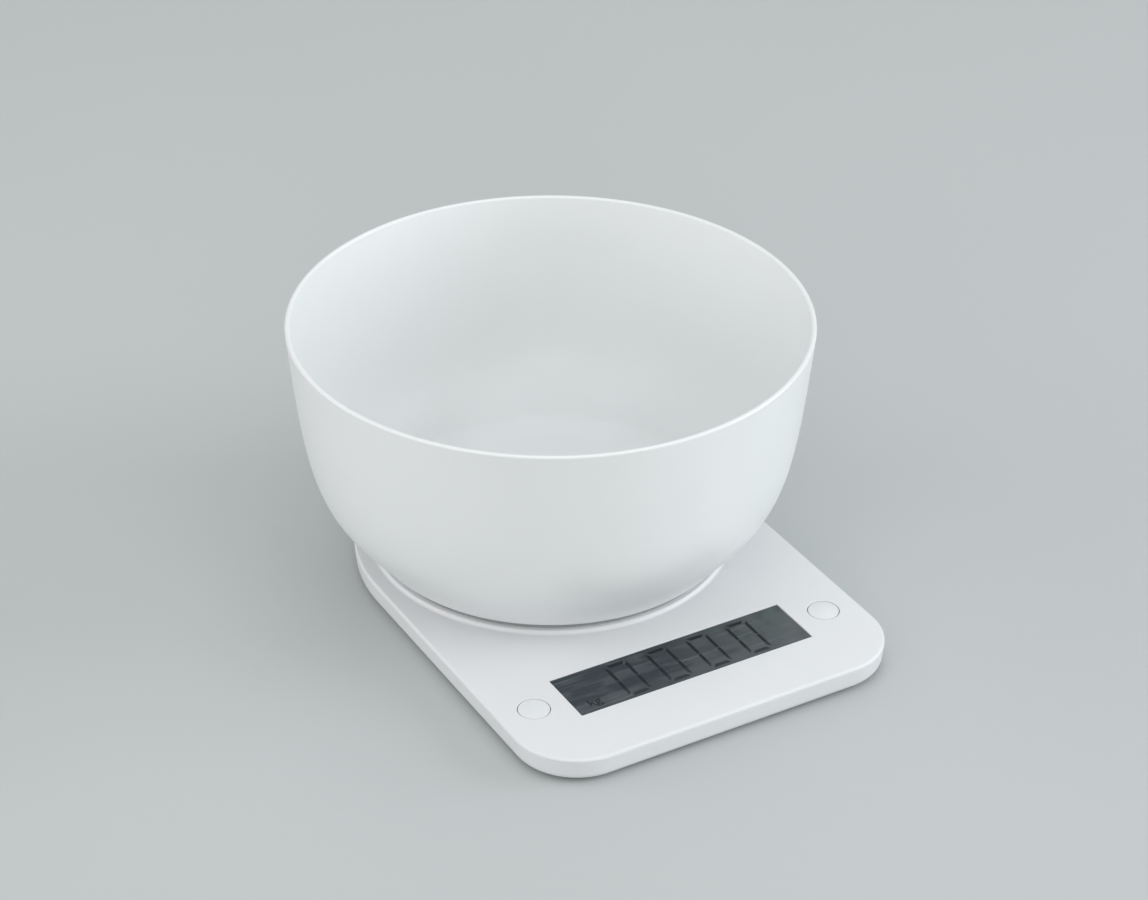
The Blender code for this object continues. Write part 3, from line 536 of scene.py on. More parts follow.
def window_look():
    """Tinted acrylic over a dark display, with a painted reflection that makes it lighter and greener to the
    right, wipe marks and hairline scratches.
    """
    look = Look("tinted_acrylic", (0.045, 0.053, 0.062), 0.13)
    look.set("IOR", 1.49)
    look.set("Specular IOR Level", WINDOW_SPECULAR)
    across = look.node("ShaderNodeSeparateXYZ")
    look.link(look.place, across.inputs["Vector"])
    # Painted reflection: the colour turns lighter and greener towards the window's right end.
    side = look.spread(across.outputs["X"], 0.0, 1.0, *PAINTED_REFLECTION_X)
    colour = look.blend(side, (0.036, 0.045, 0.054), (0.088, 0.108, 0.106))
    # Painted sheen: a paler strip along the window's front.
    front = look.spread(across.outputs["Y"], 0.7, 0.0, *SHEEN_EDGE)
    colour = look.blend(front, colour, (0.088, 0.099, 0.108))
    streaks = look.noise(2.0, 2.0, look.stretched(WIPE_STRETCH, WIPE_TURN))
    wipes = look.spread(streaks, 0.0, 0.6, 0.5, 0.6)
    colour = look.blend(wipes, colour, (0.080, 0.090, 0.098))
    smudges = look.spread(look.noise(95.0, 4.0), 0.0, 0.5, 0.5, 0.68)
    colour = look.blend(smudges, colour, (0.034, 0.041, 0.047))
    for turned, stretch in SCRATCH_DIRECTIONS:
        lines = look.noise(2.0, 1.0, look.stretched(stretch, turned))
        hairs = look.spread(lines, 0.0, 0.4, 0.68, 0.76)
        colour = look.blend(hairs, colour, (0.16, 0.19, 0.19))
    look.link(colour, look.shader.inputs["Base Color"])
    look.rough(220.0, 0.10, 0.20)
    look.bumped(hairs, 0.000006)
    return look


def ink_look():
    """Matt black segments of the display, made fainter towards the window's front by a painted sheen."""
    look = Look("display_black", INK_COLOUR, 0.4)
    look.set("Specular IOR Level", WINDOW_SPECULAR * 0.5)
    along = look.node("ShaderNodeSeparateXYZ")
    look.link(look.place, along.inputs["Vector"])
    # Painted sheen: the figures turn paler towards the window's front.
    faint = look.spread(along.outputs["Y"], 0.45, 0.0, *SHEEN_EDGE)
    grain = look.spread(look.noise(900.0), 0.0, 0.5)
    colour = look.blend(grain, INK_COLOUR, (0.020, 0.024, 0.028))
    colour = look.blend(faint, colour, (0.052, 0.060, 0.068))
    unit = look.spread(along.outputs["X"], 1.0, 0.0, *UNIT_EDGE)
    colour = look.blend(unit, colour, INK_COLOUR)
    look.link(colour, look.shader.inputs["Base Color"])
    look.rough(400.0, 0.34, 0.46)
    return look


def board_look():
    """Green solder mask over copper tracks."""
    look = Look("solder_mask", (0.03, 0.20, 0.09), 0.35)
    tracks = look.node("ShaderNodeTexBrick")
    tracks.inputs["Scale"].default_value = 260.0
    tracks.inputs["Mortar Size"].default_value = 0.05
    look.link(look.place, tracks.inputs["Vector"])
    look.link(
        look.blend(tracks.outputs["Fac"], (0.03, 0.20, 0.09), (0.08, 0.34, 0.14)),
        look.shader.inputs["Base Color"],
    )
    look.bumped(tracks.outputs["Fac"], 0.00003)
    return look


SHELL = moulded("cover_plastic", (0.752, 0.762, 0.776), 0.47).made
TRAY = moulded("tray_plastic", (0.73, 0.745, 0.755), 0.46, grain=1100.0, depth=0.000006).made
BOWL = moulded("bowl_plastic", (0.80, 0.82, 0.822), 0.335, grain=240.0, depth=0.000003, mottling=0.012).made
BUTTON = moulded("button_plastic", (0.755, 0.77, 0.782), 0.36).made
PLATFORM = moulded("platform_plastic", (0.77, 0.79, 0.795), 0.44, grain=1100.0, depth=0.000006).made
INK = ink_look().made
WINDOW = window_look().made
BLACK_PLASTIC = moulded("dark_moulding", (0.025, 0.025, 0.027), 0.5, mottling=0.15).made
RUBBER = rubber("soft_rubber", (0.20, 0.21, 0.21)).made
GREY_RUBBER = rubber("striped_rubber", (0.28, 0.27, 0.26), 0.6).made
SILICONE = rubber("clear_silicone", (0.62, 0.62, 0.58), 0.45).made
BOARD = board_look().made
GLASS = moulded("display_glass", (0.06, 0.075, 0.07), 0.12, grain=900.0, depth=0.000002).made
CERAMIC = moulded("capacitor_ceramic", (0.42, 0.33, 0.22), 0.5, grain=6000.0).made
ALUMINIUM = metal("milled_aluminium", (0.72, 0.73, 0.75), 0.37).made
STEEL = metal("zinc_plate", (0.60, 0.61, 0.63), 0.37, (60.0, 60.0, 6.0)).made
NICKEL = metal("nickel_plate", (0.70, 0.67, 0.61), 0.37, (30.0, 30.0, 30.0)).made
WIRES = {
    "red": rubber("wire_red", (0.50, 0.03, 0.02), 0.4).made,
    "black": rubber("wire_black", (0.02, 0.02, 0.022), 0.4).made,
    "white": rubber("wire_white", (0.70, 0.70, 0.68), 0.4).made,
    "green": rubber("wire_green", (0.02, 0.26, 0.07), 0.4).made,
}


# ---------------------------------------------------------------- housing


def collar_rings():
    """Section of the collar from where it leaves the plate, over its crest and down its inner side."""
    inner_round = (COLLAR_INNER + COLLAR_INNER_ROUND, COLLAR_TOP_Z - COLLAR_INNER_ROUND)
    outer_round = (COLLAR_CREST, COLLAR_TOP_Z - COLLAR_OUTER_ROUND)
    reach = COLLAR_OUTER_ROUND + COLLAR_FILLET
    rise = PLATE_TOP_Z + COLLAR_FILLET - outer_round[1]
    fillet = (COLLAR_CREST + math.sqrt(reach**2 - rise**2), PLATE_TOP_Z + COLLAR_FILLET)
    meeting = math.degrees(math.asin(rise / reach))
    skirt = COLLAR_INNER + COLLAR_SKIRT
    return [
        *arc(fillet, COLLAR_FILLET, 270.0, 180.0 + meeting, 10),
        *arc(outer_round, COLLAR_OUTER_ROUND, meeting, 90.0, 8)[1:],
        *arc(inner_round, COLLAR_INNER_ROUND, 90.0, 180.0, 6),
        (COLLAR_INNER, COLLAR_SKIRT_Z),
        (skirt, COLLAR_SKIRT_Z),
        (skirt, CEILING_Z),
    ]


def opening_rings(loop_at, top_z, bottom_z):
    """Rings down an opening's rounded mouth and wall. loop_at gives the loop grown by some distance."""
    angles = [math.radians(90.0 * k / 5) for k in range(5, -1, -1)]
    mouth = [(OPENING_ROUND * (1 - math.cos(a)), OPENING_ROUND * (1 - math.sin(a))) for a in angles]
    rings = [lifted(loop_at(grown), top_z - drop) for grown, drop in mouth]
    return [*rings, lifted(loop_at(0.0), bottom_z)]


def top_cover():
    """Upper shell: flat plate, soft top edge, collar, window rebate, button holes and locating lip."""
    skin = Skin()
    edge = arc((TOP_EDGE, PLATE_TOP_Z - TOP_EDGE), TOP_EDGE, 180.0, 90.0, 10)
    sections = [(SEAM_ROUND, COVER_BOTTOM_Z), *edge]
    skin.wall(*[lifted(plate_outline(inset), z) for inset, z in sections])

    collar = collar_rings()
    skin.wall(*[lifted(circle((0.0, 0.0), radius, LARGE_STEPS), z) for radius, z in collar])

    window_middle = (0.0, DISPLAY_Y)

    def window(grown):
        size = [side + 2 * (LENS_GAP + grown) for side in LENS_SIZE]
        return rounded_box(window_middle, size, WINDOW_CORNER + grown)

    view = rounded_box(window_middle, WINDOW_VIEW, WINDOW_CORNER)
    skin.wall(*opening_rings(window, PLATE_TOP_Z, WINDOW_REBATE_Z), lifted(view, WINDOW_REBATE_Z),
              lifted(view, CEILING_Z))

    button_places = [tuple(node_middle(f"button_{side}")[:2]) for side in ("left", "right")]
    mouths = []
    holes = []
    for place in button_places:
        def button_hole(grown, place=place):
            return circle(place, BUTTON_HOLE_RADIUS + grown, MEDIUM_STEPS)

        skin.wall(*opening_rings(button_hole, PLATE_TOP_Z, CEILING_Z))
        mouths.append(button_hole(OPENING_ROUND))
        holes.append(button_hole(0.0))

    collar_foot = circle((0.0, 0.0), collar[0][0], LARGE_STEPS)
    skirt = circle((0.0, 0.0), collar[-1][0], LARGE_STEPS)
    lip_outer, lip_inner = (plate_outline(inset) for inset in LIP)
    skin.fill(PLATE_TOP_Z, plate_outline(TOP_EDGE), [collar_foot, window(OPENING_ROUND), *mouths])
    skin.fill(CEILING_Z, lip_inner, [skirt, view, *holes])
    skin.wall(lifted(lip_inner, CEILING_Z), lifted(lip_inner, LIP_BOTTOM_Z), lifted(lip_outer, LIP_BOTTOM_Z),
              lifted(lip_outer, COVER_BOTTOM_Z), lifted(plate_outline(SEAM_ROUND), COVER_BOTTOM_Z))
    finish_piece(skin.build("top_cover"), "base", SHELL, ["upper_housing"])


def pocket(skin, loop_at, depth_z, foot=None):
    """A blind hole in the underside with a softened mouth, and the loop that it cuts out of the face."""
    mouth = [(HOLE_ROUND, 0.0), (HOLE_ROUND * ROUND_MIDDLE, HOLE_ROUND * ROUND_MIDDLE), (0.0, HOLE_ROUND)]
    rings = [lifted(loop_at(grown), UNDERSIDE_Z + drop) for grown, drop in mouth]
    end = foot or loop_at(0.0)
    skin.wall(*rings, lifted(end, depth_z))
    skin.fill(depth_z, end)
    return loop_at(HOLE_ROUND)


def bottom_tray():
    """Lower shell: drafted wall, deep soft bottom edge, and an underside with every pocket and hole."""
    skin = Skin()
    edge = arc((WALL_DRAFT + BOTTOM_EDGE, UNDERSIDE_Z + BOTTOM_EDGE), BOTTOM_EDGE, 270.0, 180.0, 12)
    near, far = SEAM_DROPS
    seam = [(0.0, SEAM_Z - far), (SEAM_ROUND * ROUND_MIDDLE, SEAM_Z - near), (SEAM_ROUND, SEAM_Z)]
    inner_wall = [(WALL_INSET, SEAM_Z), *[(WALL_INSET + inset, FLOOR_Z + rise) for inset, rise in WALL_FOOT]]
    skin.wall(*[lifted(plate_outline(inset), z) for inset, z in [*edge, *seam, *inner_wall]])

    holes = []
    for nodes, (radius, depth_z) in ((FOOT_NODES, FOOT_POCKET), (SCREW_NODES, COUNTERBORE)):
        for node in nodes:
            place = tuple(node_middle(node)[:2])
            holes.append(pocket(skin, lambda grown: circle(place, radius + grown), depth_z))
    for node in BEAM_SCREW_NODES:
        place = tuple(node_middle(node)[:2])
        mouth_radius, end_radius, depth_z = BEAM_SEAT
        end = circle(place, end_radius)
        holes.append(pocket(skin, lambda grown: circle(place, mouth_radius + grown), depth_z, end))
    stop = tuple(node_middle("overload_stop")[:2])
    holes.append(pocket(skin, lambda grown: circle(stop, STOP_HOLE[0] + grown), STOP_HOLE[1]))

    opening = notched_circle(tuple(DOOR_MIDDLE[:2]), DOOR_OPENING)
    skin.wall(lifted(opening, UNDERSIDE_Z), lifted(opening, FLOOR_Z))
    skin.fill(UNDERSIDE_Z, plate_outline(edge[0][0]), [*holes, opening])
    skin.fill(FLOOR_Z, plate_outline(inner_wall[-1][0]), [opening])
    finish_piece(skin.build("bottom_tray"), "base", TRAY, ["lower_housing"])


def battery_well():
    """The cup over the door's opening that holds the coin cell, on the tray's floor."""
    cavity_radius, cavity_z = LUG_CAVITY
    section = [
        (0.0, WELL_ROOF_Z),
        (COIN_BORE, WELL_ROOF_Z),
        (COIN_BORE, cavity_z),
        (cavity_radius, cavity_z),
        (cavity_radius, FLOOR_Z),
        (WELL_OUTER, FLOOR_Z),
        (WELL_OUTER, WELL_TOP_Z),
        (0.0, WELL_TOP_Z),
    ]
    skin = Skin()
    skin.turned(section, SMALL_STEPS, tuple(DOOR_MIDDLE[:2]))
    finish_piece(skin.build("battery_well"), "base", TRAY)


def foot(node):
    """A turned rubber foot with a round edge and a shallow ring pressed into its sole."""
    low, high = node_box(node)
    radius = (high.x - low.x) / 2
    top = high.z
    edge = arc((radius - FOOT_EDGE, FOOT_EDGE), FOOT_EDGE, 0.0, -90.0, 6)
    section = [(0.0, top), (radius, top), *edge, *FOOT_GROOVE, (0.0, 0.0)]
    skin = Skin()
    skin.turned(section, MEDIUM_STEPS, tuple(node_middle(node)[:2]))
    finish_piece(skin.build(f"rubber_{node}"), "base", RUBBER, [node])


def screw_head(node, name):
    """A screw seen from below: a pan or countersunk head with a cross recess, and its shank."""
    low, high = node_box(node)
    middle = tuple(node_middle(node)[:2])
    radius = (high.x - low.x) / 2
    broad = radius > BROAD_HEAD_RADIUS
    shank, head_height = BROAD_SCREW if broad else NARROW_SCREW
    head_top = low.z + head_height
    under = shank if broad else radius
    angles = [math.radians(90.0 * k / 6) for k in range(1, 7)]
    dome = [(radius * math.sin(a), low.z + HEAD_DOME * (1 - math.cos(a))) for a in angles]
    # A flat face takes the place of the dome's first three points.
    face_radius = dome[2][0]
    arm = radius * CROSS_ARM
    half = radius * CROSS_HALF_WIDTH
    cross = []
    for k in range(4):
        for point in ((half, -half), (arm, -half), (arm, half)):
            cross.append(turned_point(middle, point, 90.0 * k))
    skin = Skin()
    skin.wall(lifted(cross, low.z), lifted(cross, low.z + CROSS_DEPTH))
    skin.fill(low.z + CROSS_DEPTH, cross)
    skin.fill(low.z, circle(middle, face_radius), [cross])
    side = [
        (face_radius, low.z),
        *dome[3:],
        (under, head_top),
        (shank, head_top),
        (shank, high.z),
        (0.0, high.z),
    ]
    skin.turned(side, SMALL_STEPS, middle)
    finish_piece(skin.build(name), "base", STEEL, [node])


def overload_stop():
    """The set screw under the beam's free end, with its slot."""
    low, high = node_box("overload_stop")
    middle = tuple(node_middle("overload_stop")[:2])
    radius = (high.x - low.x) / 2
    slot = rounded_box(middle, (radius * STOP_SLOT_LENGTH, STOP_SLOT_WIDTH), STOP_SLOT_ROUND)
    slot_z = low.z + STOP_SLOT_DEPTH
    skin = Skin()
    skin.wall(lifted(slot, low.z), lifted(slot, slot_z))
    skin.fill(slot_z, slot)
    skin.fill(low.z, circle(middle, radius), [slot])
    skin.turned([(radius, low.z), (radius, high.z), (0.0, high.z)], SMALL_STEPS, middle)
    finish_piece(skin.build("overload_set_screw"), "base", STEEL, ["overload_stop"])


# ---------------------------------------------------------------- weighing parts and bowl


def platform_top():
    """Round platform with a soft edge, a shallow ring near its rim and a lip that hangs into the collar."""
    low, high = node_box("platform_cover")
    radius = high.x
    top = high.z
    lip_inner = radius - PLATFORM_LIP
    section = [
        (0.0, top),
        *[(groove_radius, top - drop) for groove_radius, drop in PLATFORM_GROOVE],
        *arc((radius - PLATFORM_EDGE, top - PLATFORM_EDGE), PLATFORM_EDGE, 90.0, 0.0, 6),
        (radius, low.z),
        (lip_inner, low.z),
        (lip_inner, PLATFORM_UNDERSIDE_Z),
        (0.0, PLATFORM_UNDERSIDE_Z),
    ]
    skin = Skin()
    skin.turned(section)
    finish_piece(skin.build("platform_top"), "platform", PLATFORM, ["platform_cover"])


def bending_beam():
    """The load cell, cut across at even steps either side of its middle."""
    low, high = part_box("load_cell")
    middle = low.lerp(high, 0.5)
    bm = bmesh.new()
    bm.from_mesh(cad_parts["load_cell"].data)
    for k in range(-BEND_CUTS, BEND_CUTS + 1):
        place = middle + Vector((0.0, BEND_REACH * k / BEND_CUTS, 0.0))
        whole = bm.verts[:] + bm.edges[:] + bm.faces[:]
        bmesh.ops.bisect_plane(bm, geom=whole, dist=1e-7, plane_co=place, plane_no=(0.0, 1.0, 0.0))
    mesh = bpy.data.meshes.new("bending_beam")
    bm.to_mesh(mesh)
    bm.free()
    obj = bpy.data.objects.new("bending_beam", mesh)
    bpy.context.scene.collection.objects.link(obj)
    mesh.materials.append(ALUMINIUM)
    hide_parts("load_cell")
    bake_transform(obj)


def mixing_bowl():
    """Deep round bowl: a thin even wall with a softened rim, a flat inner floor and a foot ring."""
    base = bezier(*BOWL_BASE_CURVE, 16)
    outer = [*base, *bezier(*BOWL_WALL_CURVE, 36)[1:], (RIM_RADIUS, RIM_Z - BOWL_RIM_ROUND)]
    inner = [point for point in offset(outer, BOWL_WALL) if point[1] > BOWL_INNER_START_Z]
    rim_inner = (RIM_RADIUS - BOWL_WALL + BOWL_RIM_ROUND, RIM_Z - BOWL_RIM_ROUND)
    rim_outer = (RIM_RADIUS - BOWL_RIM_ROUND, RIM_Z - BOWL_RIM_ROUND)
    floor_edge = (BOWL_FLOOR_RADIUS, BOWL_FLOOR_Z)
    floor_turn = (BOWL_FLOOR_RADIUS + BOWL_FLOOR_TURN, BOWL_FLOOR_Z)
    wall_foot = (BOWL_FLOOR_RADIUS + BOWL_WALL_FOOT[0], BOWL_FLOOR_Z + BOWL_WALL_FOOT[1])
    foot_inner = BOWL_FOOT_RADIUS - BOWL_FOOT_WIDTH
    round_middle = (BOWL_FOOT_RADIUS - BOWL_FOOT_ROUND, FOOT_Z + BOWL_FOOT_ROUND)
    lip_middle = (foot_inner + BOWL_FOOT_LIP, FOOT_Z + BOWL_FOOT_LIP)
    section = [
        (0.0, BOWL_FLOOR_Z),
        *bezier(floor_edge, floor_turn, wall_foot, inner[0], 14),
        *inner[1:-1],
        *arc(rim_inner, BOWL_RIM_ROUND, 180.0, 90.0, 6),
        *arc(rim_outer, BOWL_RIM_ROUND, 90.0, 0.0, 6),
        *outer[-2::-1],
        *arc(round_middle, BOWL_FOOT_ROUND, 0.0, -90.0, 5),
        *arc(lip_middle, BOWL_FOOT_LIP, 270.0, 180.0, 3),
        (foot_inner, BOWL_RECESS_Z),
        (0.0, BOWL_RECESS_Z),
    ]
    skin = Skin()
    skin.turned(section)
    finish_piece(skin.build("mixing_bowl"), "bowl", BOWL, ["bowl"])


# ---------------------------------------------------------------- display and buttons


def window_lens():
    """Sharp-cornered lens with a fine polished edge."""
    middle = (0.0, DISPLAY_Y)
    section = (
        (LENS_EDGE, LENS_LOW.z),
        (0.0, LENS_LOW.z + LENS_EDGE),
        (0.0, LENS_HIGH.z - LENS_EDGE),
        (LENS_EDGE_STEP, LENS_HIGH.z - LENS_EDGE_STEP),
        (LENS_EDGE, LENS_HIGH.z),
    )
    rings = []
    for inset, z in section:
        size = [side - 2 * inset for side in LENS_SIZE]
        rings.append((rounded_box(middle, size, WINDOW_CORNER - LENS_GAP - inset / 2), z))
    skin = Skin()
    skin.wall(*[lifted(loop, z) for loop, z in rings])
    skin.fill(*reversed(rings[0]))
    skin.fill(*reversed(rings[-1]))
    finish_piece(skin.build("window_lens"), "base", WINDOW, ["display_window"])


def digit_bars(x):
    """The six lit bars of a seven-bar nought, centred on x, as outlines."""
    top = DIGIT_TOP
    bottom = DIGIT_TOP - DIGIT_HEIGHT
    middle = (top + bottom) / 2
    inner = DIGIT_HALF_WIDTH - DIGIT_BAR
    outer_drop, inner_drop = SIDE_BAR_TOP
    shoulder, tip = SIDE_BAR_END
    side = [
        (DIGIT_HALF_WIDTH, top - outer_drop),
        (DIGIT_HALF_WIDTH, middle + shoulder),
        (DIGIT_HALF_WIDTH - DIGIT_BAR / 2, middle + tip),
        (inner, middle + shoulder),
        (inner, top - inner_drop),
    ]
    bars = [[(x + px, top + py) for px, py in DIGIT_CAP], [(x + px, bottom - py) for px, py in DIGIT_CAP]]
    for sign in (-1.0, 1.0):
        bars.append([(x + sign * px, py) for px, py in side])
        bars.append([(x + sign * px, 2 * middle - py) for px, py in side])
    return bars


def display_ink():
    """The figures and the unit, as thin dark film on the lens."""
    skin = Skin()
    for k in range(DIGIT_COUNT):
        for bar in digit_bars(DIGIT_FIRST_X + k * DIGIT_PITCH):
            skin.prism(bar, LENS_HIGH.z, LENS_HIGH.z + INK_THICKNESS)
    finish_piece(skin.build("display_figures"), "base", INK)

    text = bpy.data.curves.new("unit_text", "FONT")
    text.body = "kg"
    text.size = UNIT_HEIGHT * MM
    text.extrude = INK_THICKNESS / 2 * MM
    writing = bpy.data.objects.new("unit_text", text)
    bpy.context.scene.collection.objects.link(writing)
    bpy.context.view_layer.update()
    mesh = bpy.data.meshes.new_from_object(writing.evaluated_get(bpy.context.evaluated_depsgraph_get()))
    bpy.data.objects.remove(writing)
    place = Vector((*UNIT_PLACE, LENS_HIGH.z + INK_THICKNESS / 2)) * MM + AXIS
    bm = bmesh.new()
    bm.from_mesh(mesh)
    bmesh.ops.translate(bm, verts=bm.verts, vec=place)
    bmesh.ops.remove_doubles(bm, verts=bm.verts, dist=1e-7)
    bm.to_mesh(mesh)
    bm.free()
    unit = bpy.data.objects.new("display_unit", mesh)
    bpy.context.scene.collection.objects.link(unit)
    finish_piece(unit, "base", INK)


def button_cap(side):
    """A gently domed cap with a soft edge, and the flange that keeps it under the cover."""
    node = f"button_{side}"
    high = node_box(node)[1]
    flange_radius, flange_low, flange_high = BUTTON_FLANGE
    crown = BUTTON_RADIUS - BUTTON_EDGE
    dome = [crown * k / 8 for k in range(9)]
    edge_middle = (crown, high.z - BUTTON_DOME - BUTTON_EDGE)
    section = [
        *[(radius, high.z - BUTTON_DOME * (radius / crown) ** 2) for radius in dome],
        *arc(edge_middle, BUTTON_EDGE, BUTTON_EDGE_START, 0.0, 6),
        (BUTTON_RADIUS, flange_high),
        (flange_radius, flange_high),
        (flange_radius, flange_low),
        (BUTTON_SKIRT_INNER, flange_low),
        (BUTTON_SKIRT_INNER, flange_high),
        (0.0, flange_high),
    ]
    skin = Skin()
    skin.turned(section, MEDIUM_STEPS, tuple(node_middle(node)[:2]))
    finish_piece(skin.build(f"push_{node}"), f"{node}_body", BUTTON, [node])


# ---------------------------------------------------------------- battery door


def door_cap():
    """Round door with a coin slot, a raised triangle that points at the lock mark, a ring and two lugs."""
    middle = tuple(DOOR_MIDDLE[:2])
    slot = rounded_box(middle, COIN_SLOT, COIN_SLOT_ROUND, 8)
    floor_z = UNDERSIDE_Z + COIN_SLOT_DEPTH
    edge = arc((DOOR_RADIUS - DOOR_EDGE, UNDERSIDE_Z + DOOR_EDGE), DOOR_EDGE, 270.0, 360.0, 5)
    skin = Skin()
    skin.fill(UNDERSIDE_Z, circle(middle, edge[0][0], MEDIUM_STEPS), [slot])
    skin.wall(lifted(slot, UNDERSIDE_Z), lifted(slot, floor_z))
    skin.fill(floor_z, slot)
    section = [
        *edge,
        (DOOR_RADIUS - DOOR_RING_DRAFT, LUG_Z[1]),
        (DOOR_RING_INNER, LUG_Z[1]),
        (DOOR_RING_INNER, DOOR_FACE_Z),
        (0.0, DOOR_FACE_Z),
    ]
    skin.turned(section, MEDIUM_STEPS, middle)
    finish_piece(skin.build("coin_slot_door"), "battery_door", TRAY, ["battery_door"])

    lugs = Skin()
    length = LUG_REACH - DOOR_RADIUS + LUG_ROOT
    for sign in (-1.0, 1.0):
        place = (middle[0] + sign * (LUG_REACH - length / 2), middle[1])
        lugs.prism(rounded_box(place, (length, LUG_WIDTH), LUG_ROUND), *LUG_Z)
    finish_piece(lugs.build("door_lugs"), "battery_door", TRAY)

    pointer = Skin()
    base_y = middle[1] - POINTER_TIP + POINTER_LENGTH
    triangle = [
        (middle[0] - POINTER_HALF_WIDTH, base_y),
        (middle[0], middle[1] - POINTER_TIP),
        (middle[0] + POINTER_HALF_WIDTH, base_y),
    ]
    pointer.prism(triangle, *MARK_Z)
    finish_piece(pointer.build("door_pointer"), "battery_door", TRAY)


def lock_marks():
    """Two raised marks on the tray beside the door: a dot for shut and a ring for open."""
    skin = Skin()
    dot = turned_point(DOOR_MIDDLE, (LOCK_MARK_REACH, 0.0), -90.0)
    ring = turned_point(DOOR_MIDDLE, (LOCK_MARK_REACH, 0.0), DOOR_TURN - 90.0)
    skin.prism(circle(dot, LOCK_DOT_RADIUS, LOCK_MARK_STEPS), *MARK_Z)
    low, high = MARK_Z
    inner, outer = LOCK_RING
    section = [(outer, low), (outer, high), (inner, high), (inner, low), (outer, low)]
    skin.turned(section, LOCK_MARK_STEPS, ring)
    finish_piece(skin.build("lock_marks"), "base", TRAY)


# ---------------------------------------------------------------- carried-over nodes

CARRIED = {
    "platform_stiffener": STEEL,
    "platform_spacer": STEEL,
    "platform_screw_1": STEEL,
    "platform_screw_2": STEEL,
    "load_cell_spacer": STEEL,
    "board_screw_left": STEEL,
    "board_screw_right": STEEL,
    "strain_gauge_upper": SILICONE,
    "strain_gauge_lower": SILICONE,
    "lcd_panel": GLASS,
    "lcd_frame": BLACK_PLASTIC,
    "zebra_connector": GREY_RUBBER,
    "circuit_board": BOARD,
    "controller_chip": BLACK_PLASTIC,
    "converter_chip": BLACK_PLASTIC,
    "filter_capacitor": CERAMIC,
    "crystal": NICKEL,
    "coin_cell": NICKEL,
    "battery_contact_negative": NICKEL,
    "battery_contact_positive": NICKEL,
    "switch_actuator_left": BLACK_PLASTIC,
    "switch_actuator_right": BLACK_PLASTIC,
    "tact_switch_left": BLACK_PLASTIC,
    "tact_switch_right": BLACK_PLASTIC,
}


def paint_carried_nodes():
    """Gives each node that keeps its shape its detailed material."""
    looks = dict(CARRIED)
    for colour, look in WIRES.items():
        looks[f"load_cell_wire_{colour}"] = look
    for colour in ("red", "black"):
        looks[f"battery_wire_{colour}"] = WIRES[colour]
    for node, look in looks.items():
        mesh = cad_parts[node].data
        mesh.materials.clear()
        mesh.materials.append(look)


# ---------------------------------------------------------------- stage, lights and camera

# Floor, in metres: half its width and its front reach, its back, the sweep's radius and its top edge.
FLOOR_HALF = 6.0
FLOOR_BACK = 5.0
SWEEP_RADIUS = 3.0
FLOOR_TOP = 6.0

# Light: the even light all round, the softboxes' distance, and each one's azimuth, elevation, size, power
# and colour. Azimuth 0 is before the display, 90 on its right.
WORLD_COLOUR = (1.0, 0.985, 0.98)
WORLD_STRENGTH = 0.51
LIGHT_DISTANCE = 2.0
WHITE = (1.0, 1.0, 1.0)
SOFTBOXES = {
    "key_right": (60.0, 18.0, 1.1, 18.8, (0.92, 1.0, 1.03)),
    "low_left": (-75.0, 18.0, 1.1, 3.6, WHITE),
    "low_back_left": (-120.0, 18.0, 1.1, 8.2, WHITE),
    "low_front": (-30.0, 18.0, 1.1, 5.5, WHITE),
    "high_front": (15.0, 50.0, 1.3, 4.8, WHITE),
    "high_left": (-75.0, 50.0, 1.3, 3.0, WHITE),
    "high_back": (150.0, 50.0, 1.3, 5.2, WHITE),
    "overhead": (0.0, 90.0, 1.6, 6.4, (0.91, 0.98, 1.05)),
}

# Camera: the way that it looks in degrees, its distance and aim in metres, and its lens in millimetres.
CAMERA_AZIMUTH = -30.18
CAMERA_ELEVATION = 31.99
CAMERA_ROLL = 0.376
CAMERA_DISTANCE = 1.18815
CAMERA_LENS = 94.74
CAMERA_AIM_RIGHT = 0.00925
CAMERA_AIM_UP = 0.03152


def floor():
    """A wide pale floor that curves up behind the scale."""
    look = Look("floor_paper", (0.502, 0.527, 0.527), 0.85)
    look.mottled(3.0, 0.02)
    look.bumped(look.noise(900.0), 0.00002)
    sweep_start = FLOOR_BACK - SWEEP_RADIUS
    section = [(-FLOOR_HALF, 0.0), (sweep_start, 0.0)]
    section += arc((sweep_start, SWEEP_RADIUS), SWEEP_RADIUS, 270.0, 360.0, 24)
    section.append((FLOOR_BACK, FLOOR_TOP))
    bm = bmesh.new()
    sides = [[bm.verts.new((x, y, z)) for y, z in section] for x in (-FLOOR_HALF, FLOOR_HALF)]
    for k in range(len(section) - 1):
        bm.faces.new((sides[0][k], sides[1][k], sides[1][k + 1], sides[0][k + 1]))
    mesh = bpy.data.meshes.new("floor")
    bm.to_mesh(mesh)
    bm.free()
    mesh.shade_smooth()
    obj = bpy.data.objects.new("floor", mesh)
    bpy.context.scene.collection.objects.link(obj)
    obj.rotation_euler.z = math.radians(CAMERA_AZIMUTH)
    mesh.materials.append(look.made)


def towards(azimuth, elevation):
    """The unit direction from the scale to a place round it, from angles in degrees."""
    a = math.radians(azimuth)
    e = math.radians(elevation)
    return Vector((math.sin(a) * math.cos(e), -math.cos(a) * math.cos(e), math.sin(e)))


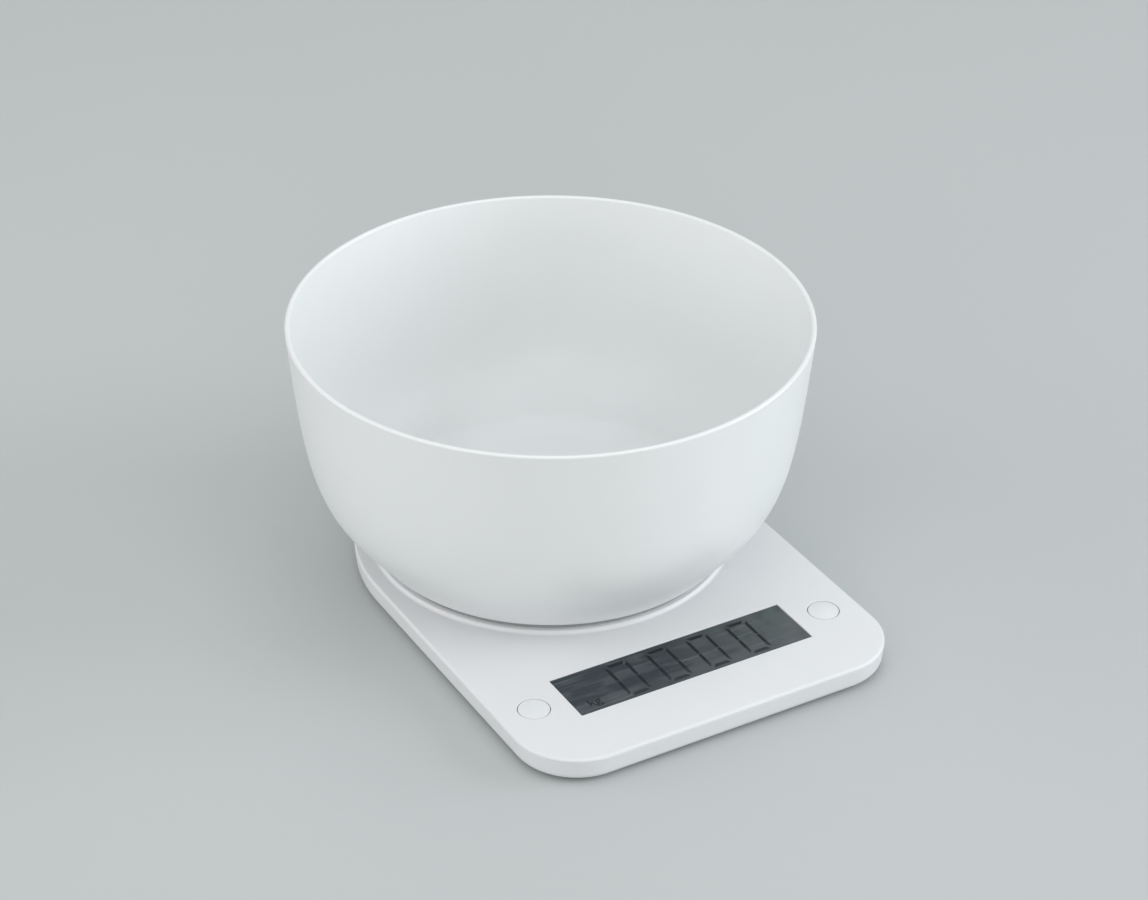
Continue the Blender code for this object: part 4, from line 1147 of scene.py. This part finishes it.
def soft_light(name, azimuth, elevation, size, power, colour):
    """A square softbox that looks at the scale."""
    data = bpy.data.lights.new(name, "AREA")
    data.shape = "SQUARE"
    data.size = size
    data.energy = power
    data.color = colour
    obj = bpy.data.objects.new(name, data)
    away = towards(azimuth, elevation)
    obj.location = away * LIGHT_DISTANCE
    obj.rotation_euler = (-away).to_track_quat("-Z", "Y").to_euler()
    bpy.context.scene.collection.objects.link(obj)


def lights():
    """Even light all round, a low cool softbox on the right, and weak fills round the scale."""
    world = bpy.data.worlds.new("studio")
    world.use_nodes = True
    background = world.node_tree.nodes["Background"]
    background.inputs["Color"].default_value = (*WORLD_COLOUR, 1.0)
    background.inputs["Strength"].default_value = WORLD_STRENGTH
    bpy.context.scene.world = world
    for name, settings in SOFTBOXES.items():
        soft_light(name, *settings)


def camera():
    """Long lens at the viewing angle, level but for a slight roll."""
    a = math.radians(CAMERA_AZIMUTH)
    away = towards(CAMERA_AZIMUTH, CAMERA_ELEVATION)
    level_right = Vector((math.cos(a), math.sin(a), 0.0))
    level_up = away.cross(level_right)
    roll = math.radians(CAMERA_ROLL)
    right = level_right * math.cos(roll) + level_up * math.sin(roll)
    up = away.cross(right)
    plate_middle = AXIS + Vector((0.0, 0.0, PLATE_TOP_Z * MM))
    data = bpy.data.cameras.new("camera")
    data.lens = CAMERA_LENS
    data.sensor_width = 36.0
    obj = bpy.data.objects.new("camera", data)
    place = plate_middle + away * CAMERA_DISTANCE + right * CAMERA_AIM_RIGHT + up * CAMERA_AIM_UP
    turn = Matrix((right, up, away)).transposed().to_4x4()
    obj.matrix_world = Matrix.Translation(place) @ turn
    bpy.context.scene.collection.objects.link(obj)
    bpy.context.scene.camera = obj


camera()
top_cover()
bottom_tray()
battery_well()
for foot_node in FOOT_NODES:
    foot(foot_node)
for screw_node in SCREW_NODES:
    screw_head(screw_node, screw_node.replace("housing_screw_", "cross_head_"))
for number, screw_node in enumerate(BEAM_SCREW_NODES, 1):
    screw_head(screw_node, f"cross_head_beam_{number}")
overload_stop()
platform_top()
bending_beam()
mixing_bowl()
window_lens()
display_ink()
for button_side in ("left", "right"):
    button_cap(button_side)
door_cap()
lock_marks()
paint_carried_nodes()
floor()
lights()
bpy.context.scene.view_settings.view_transform = "Standard"
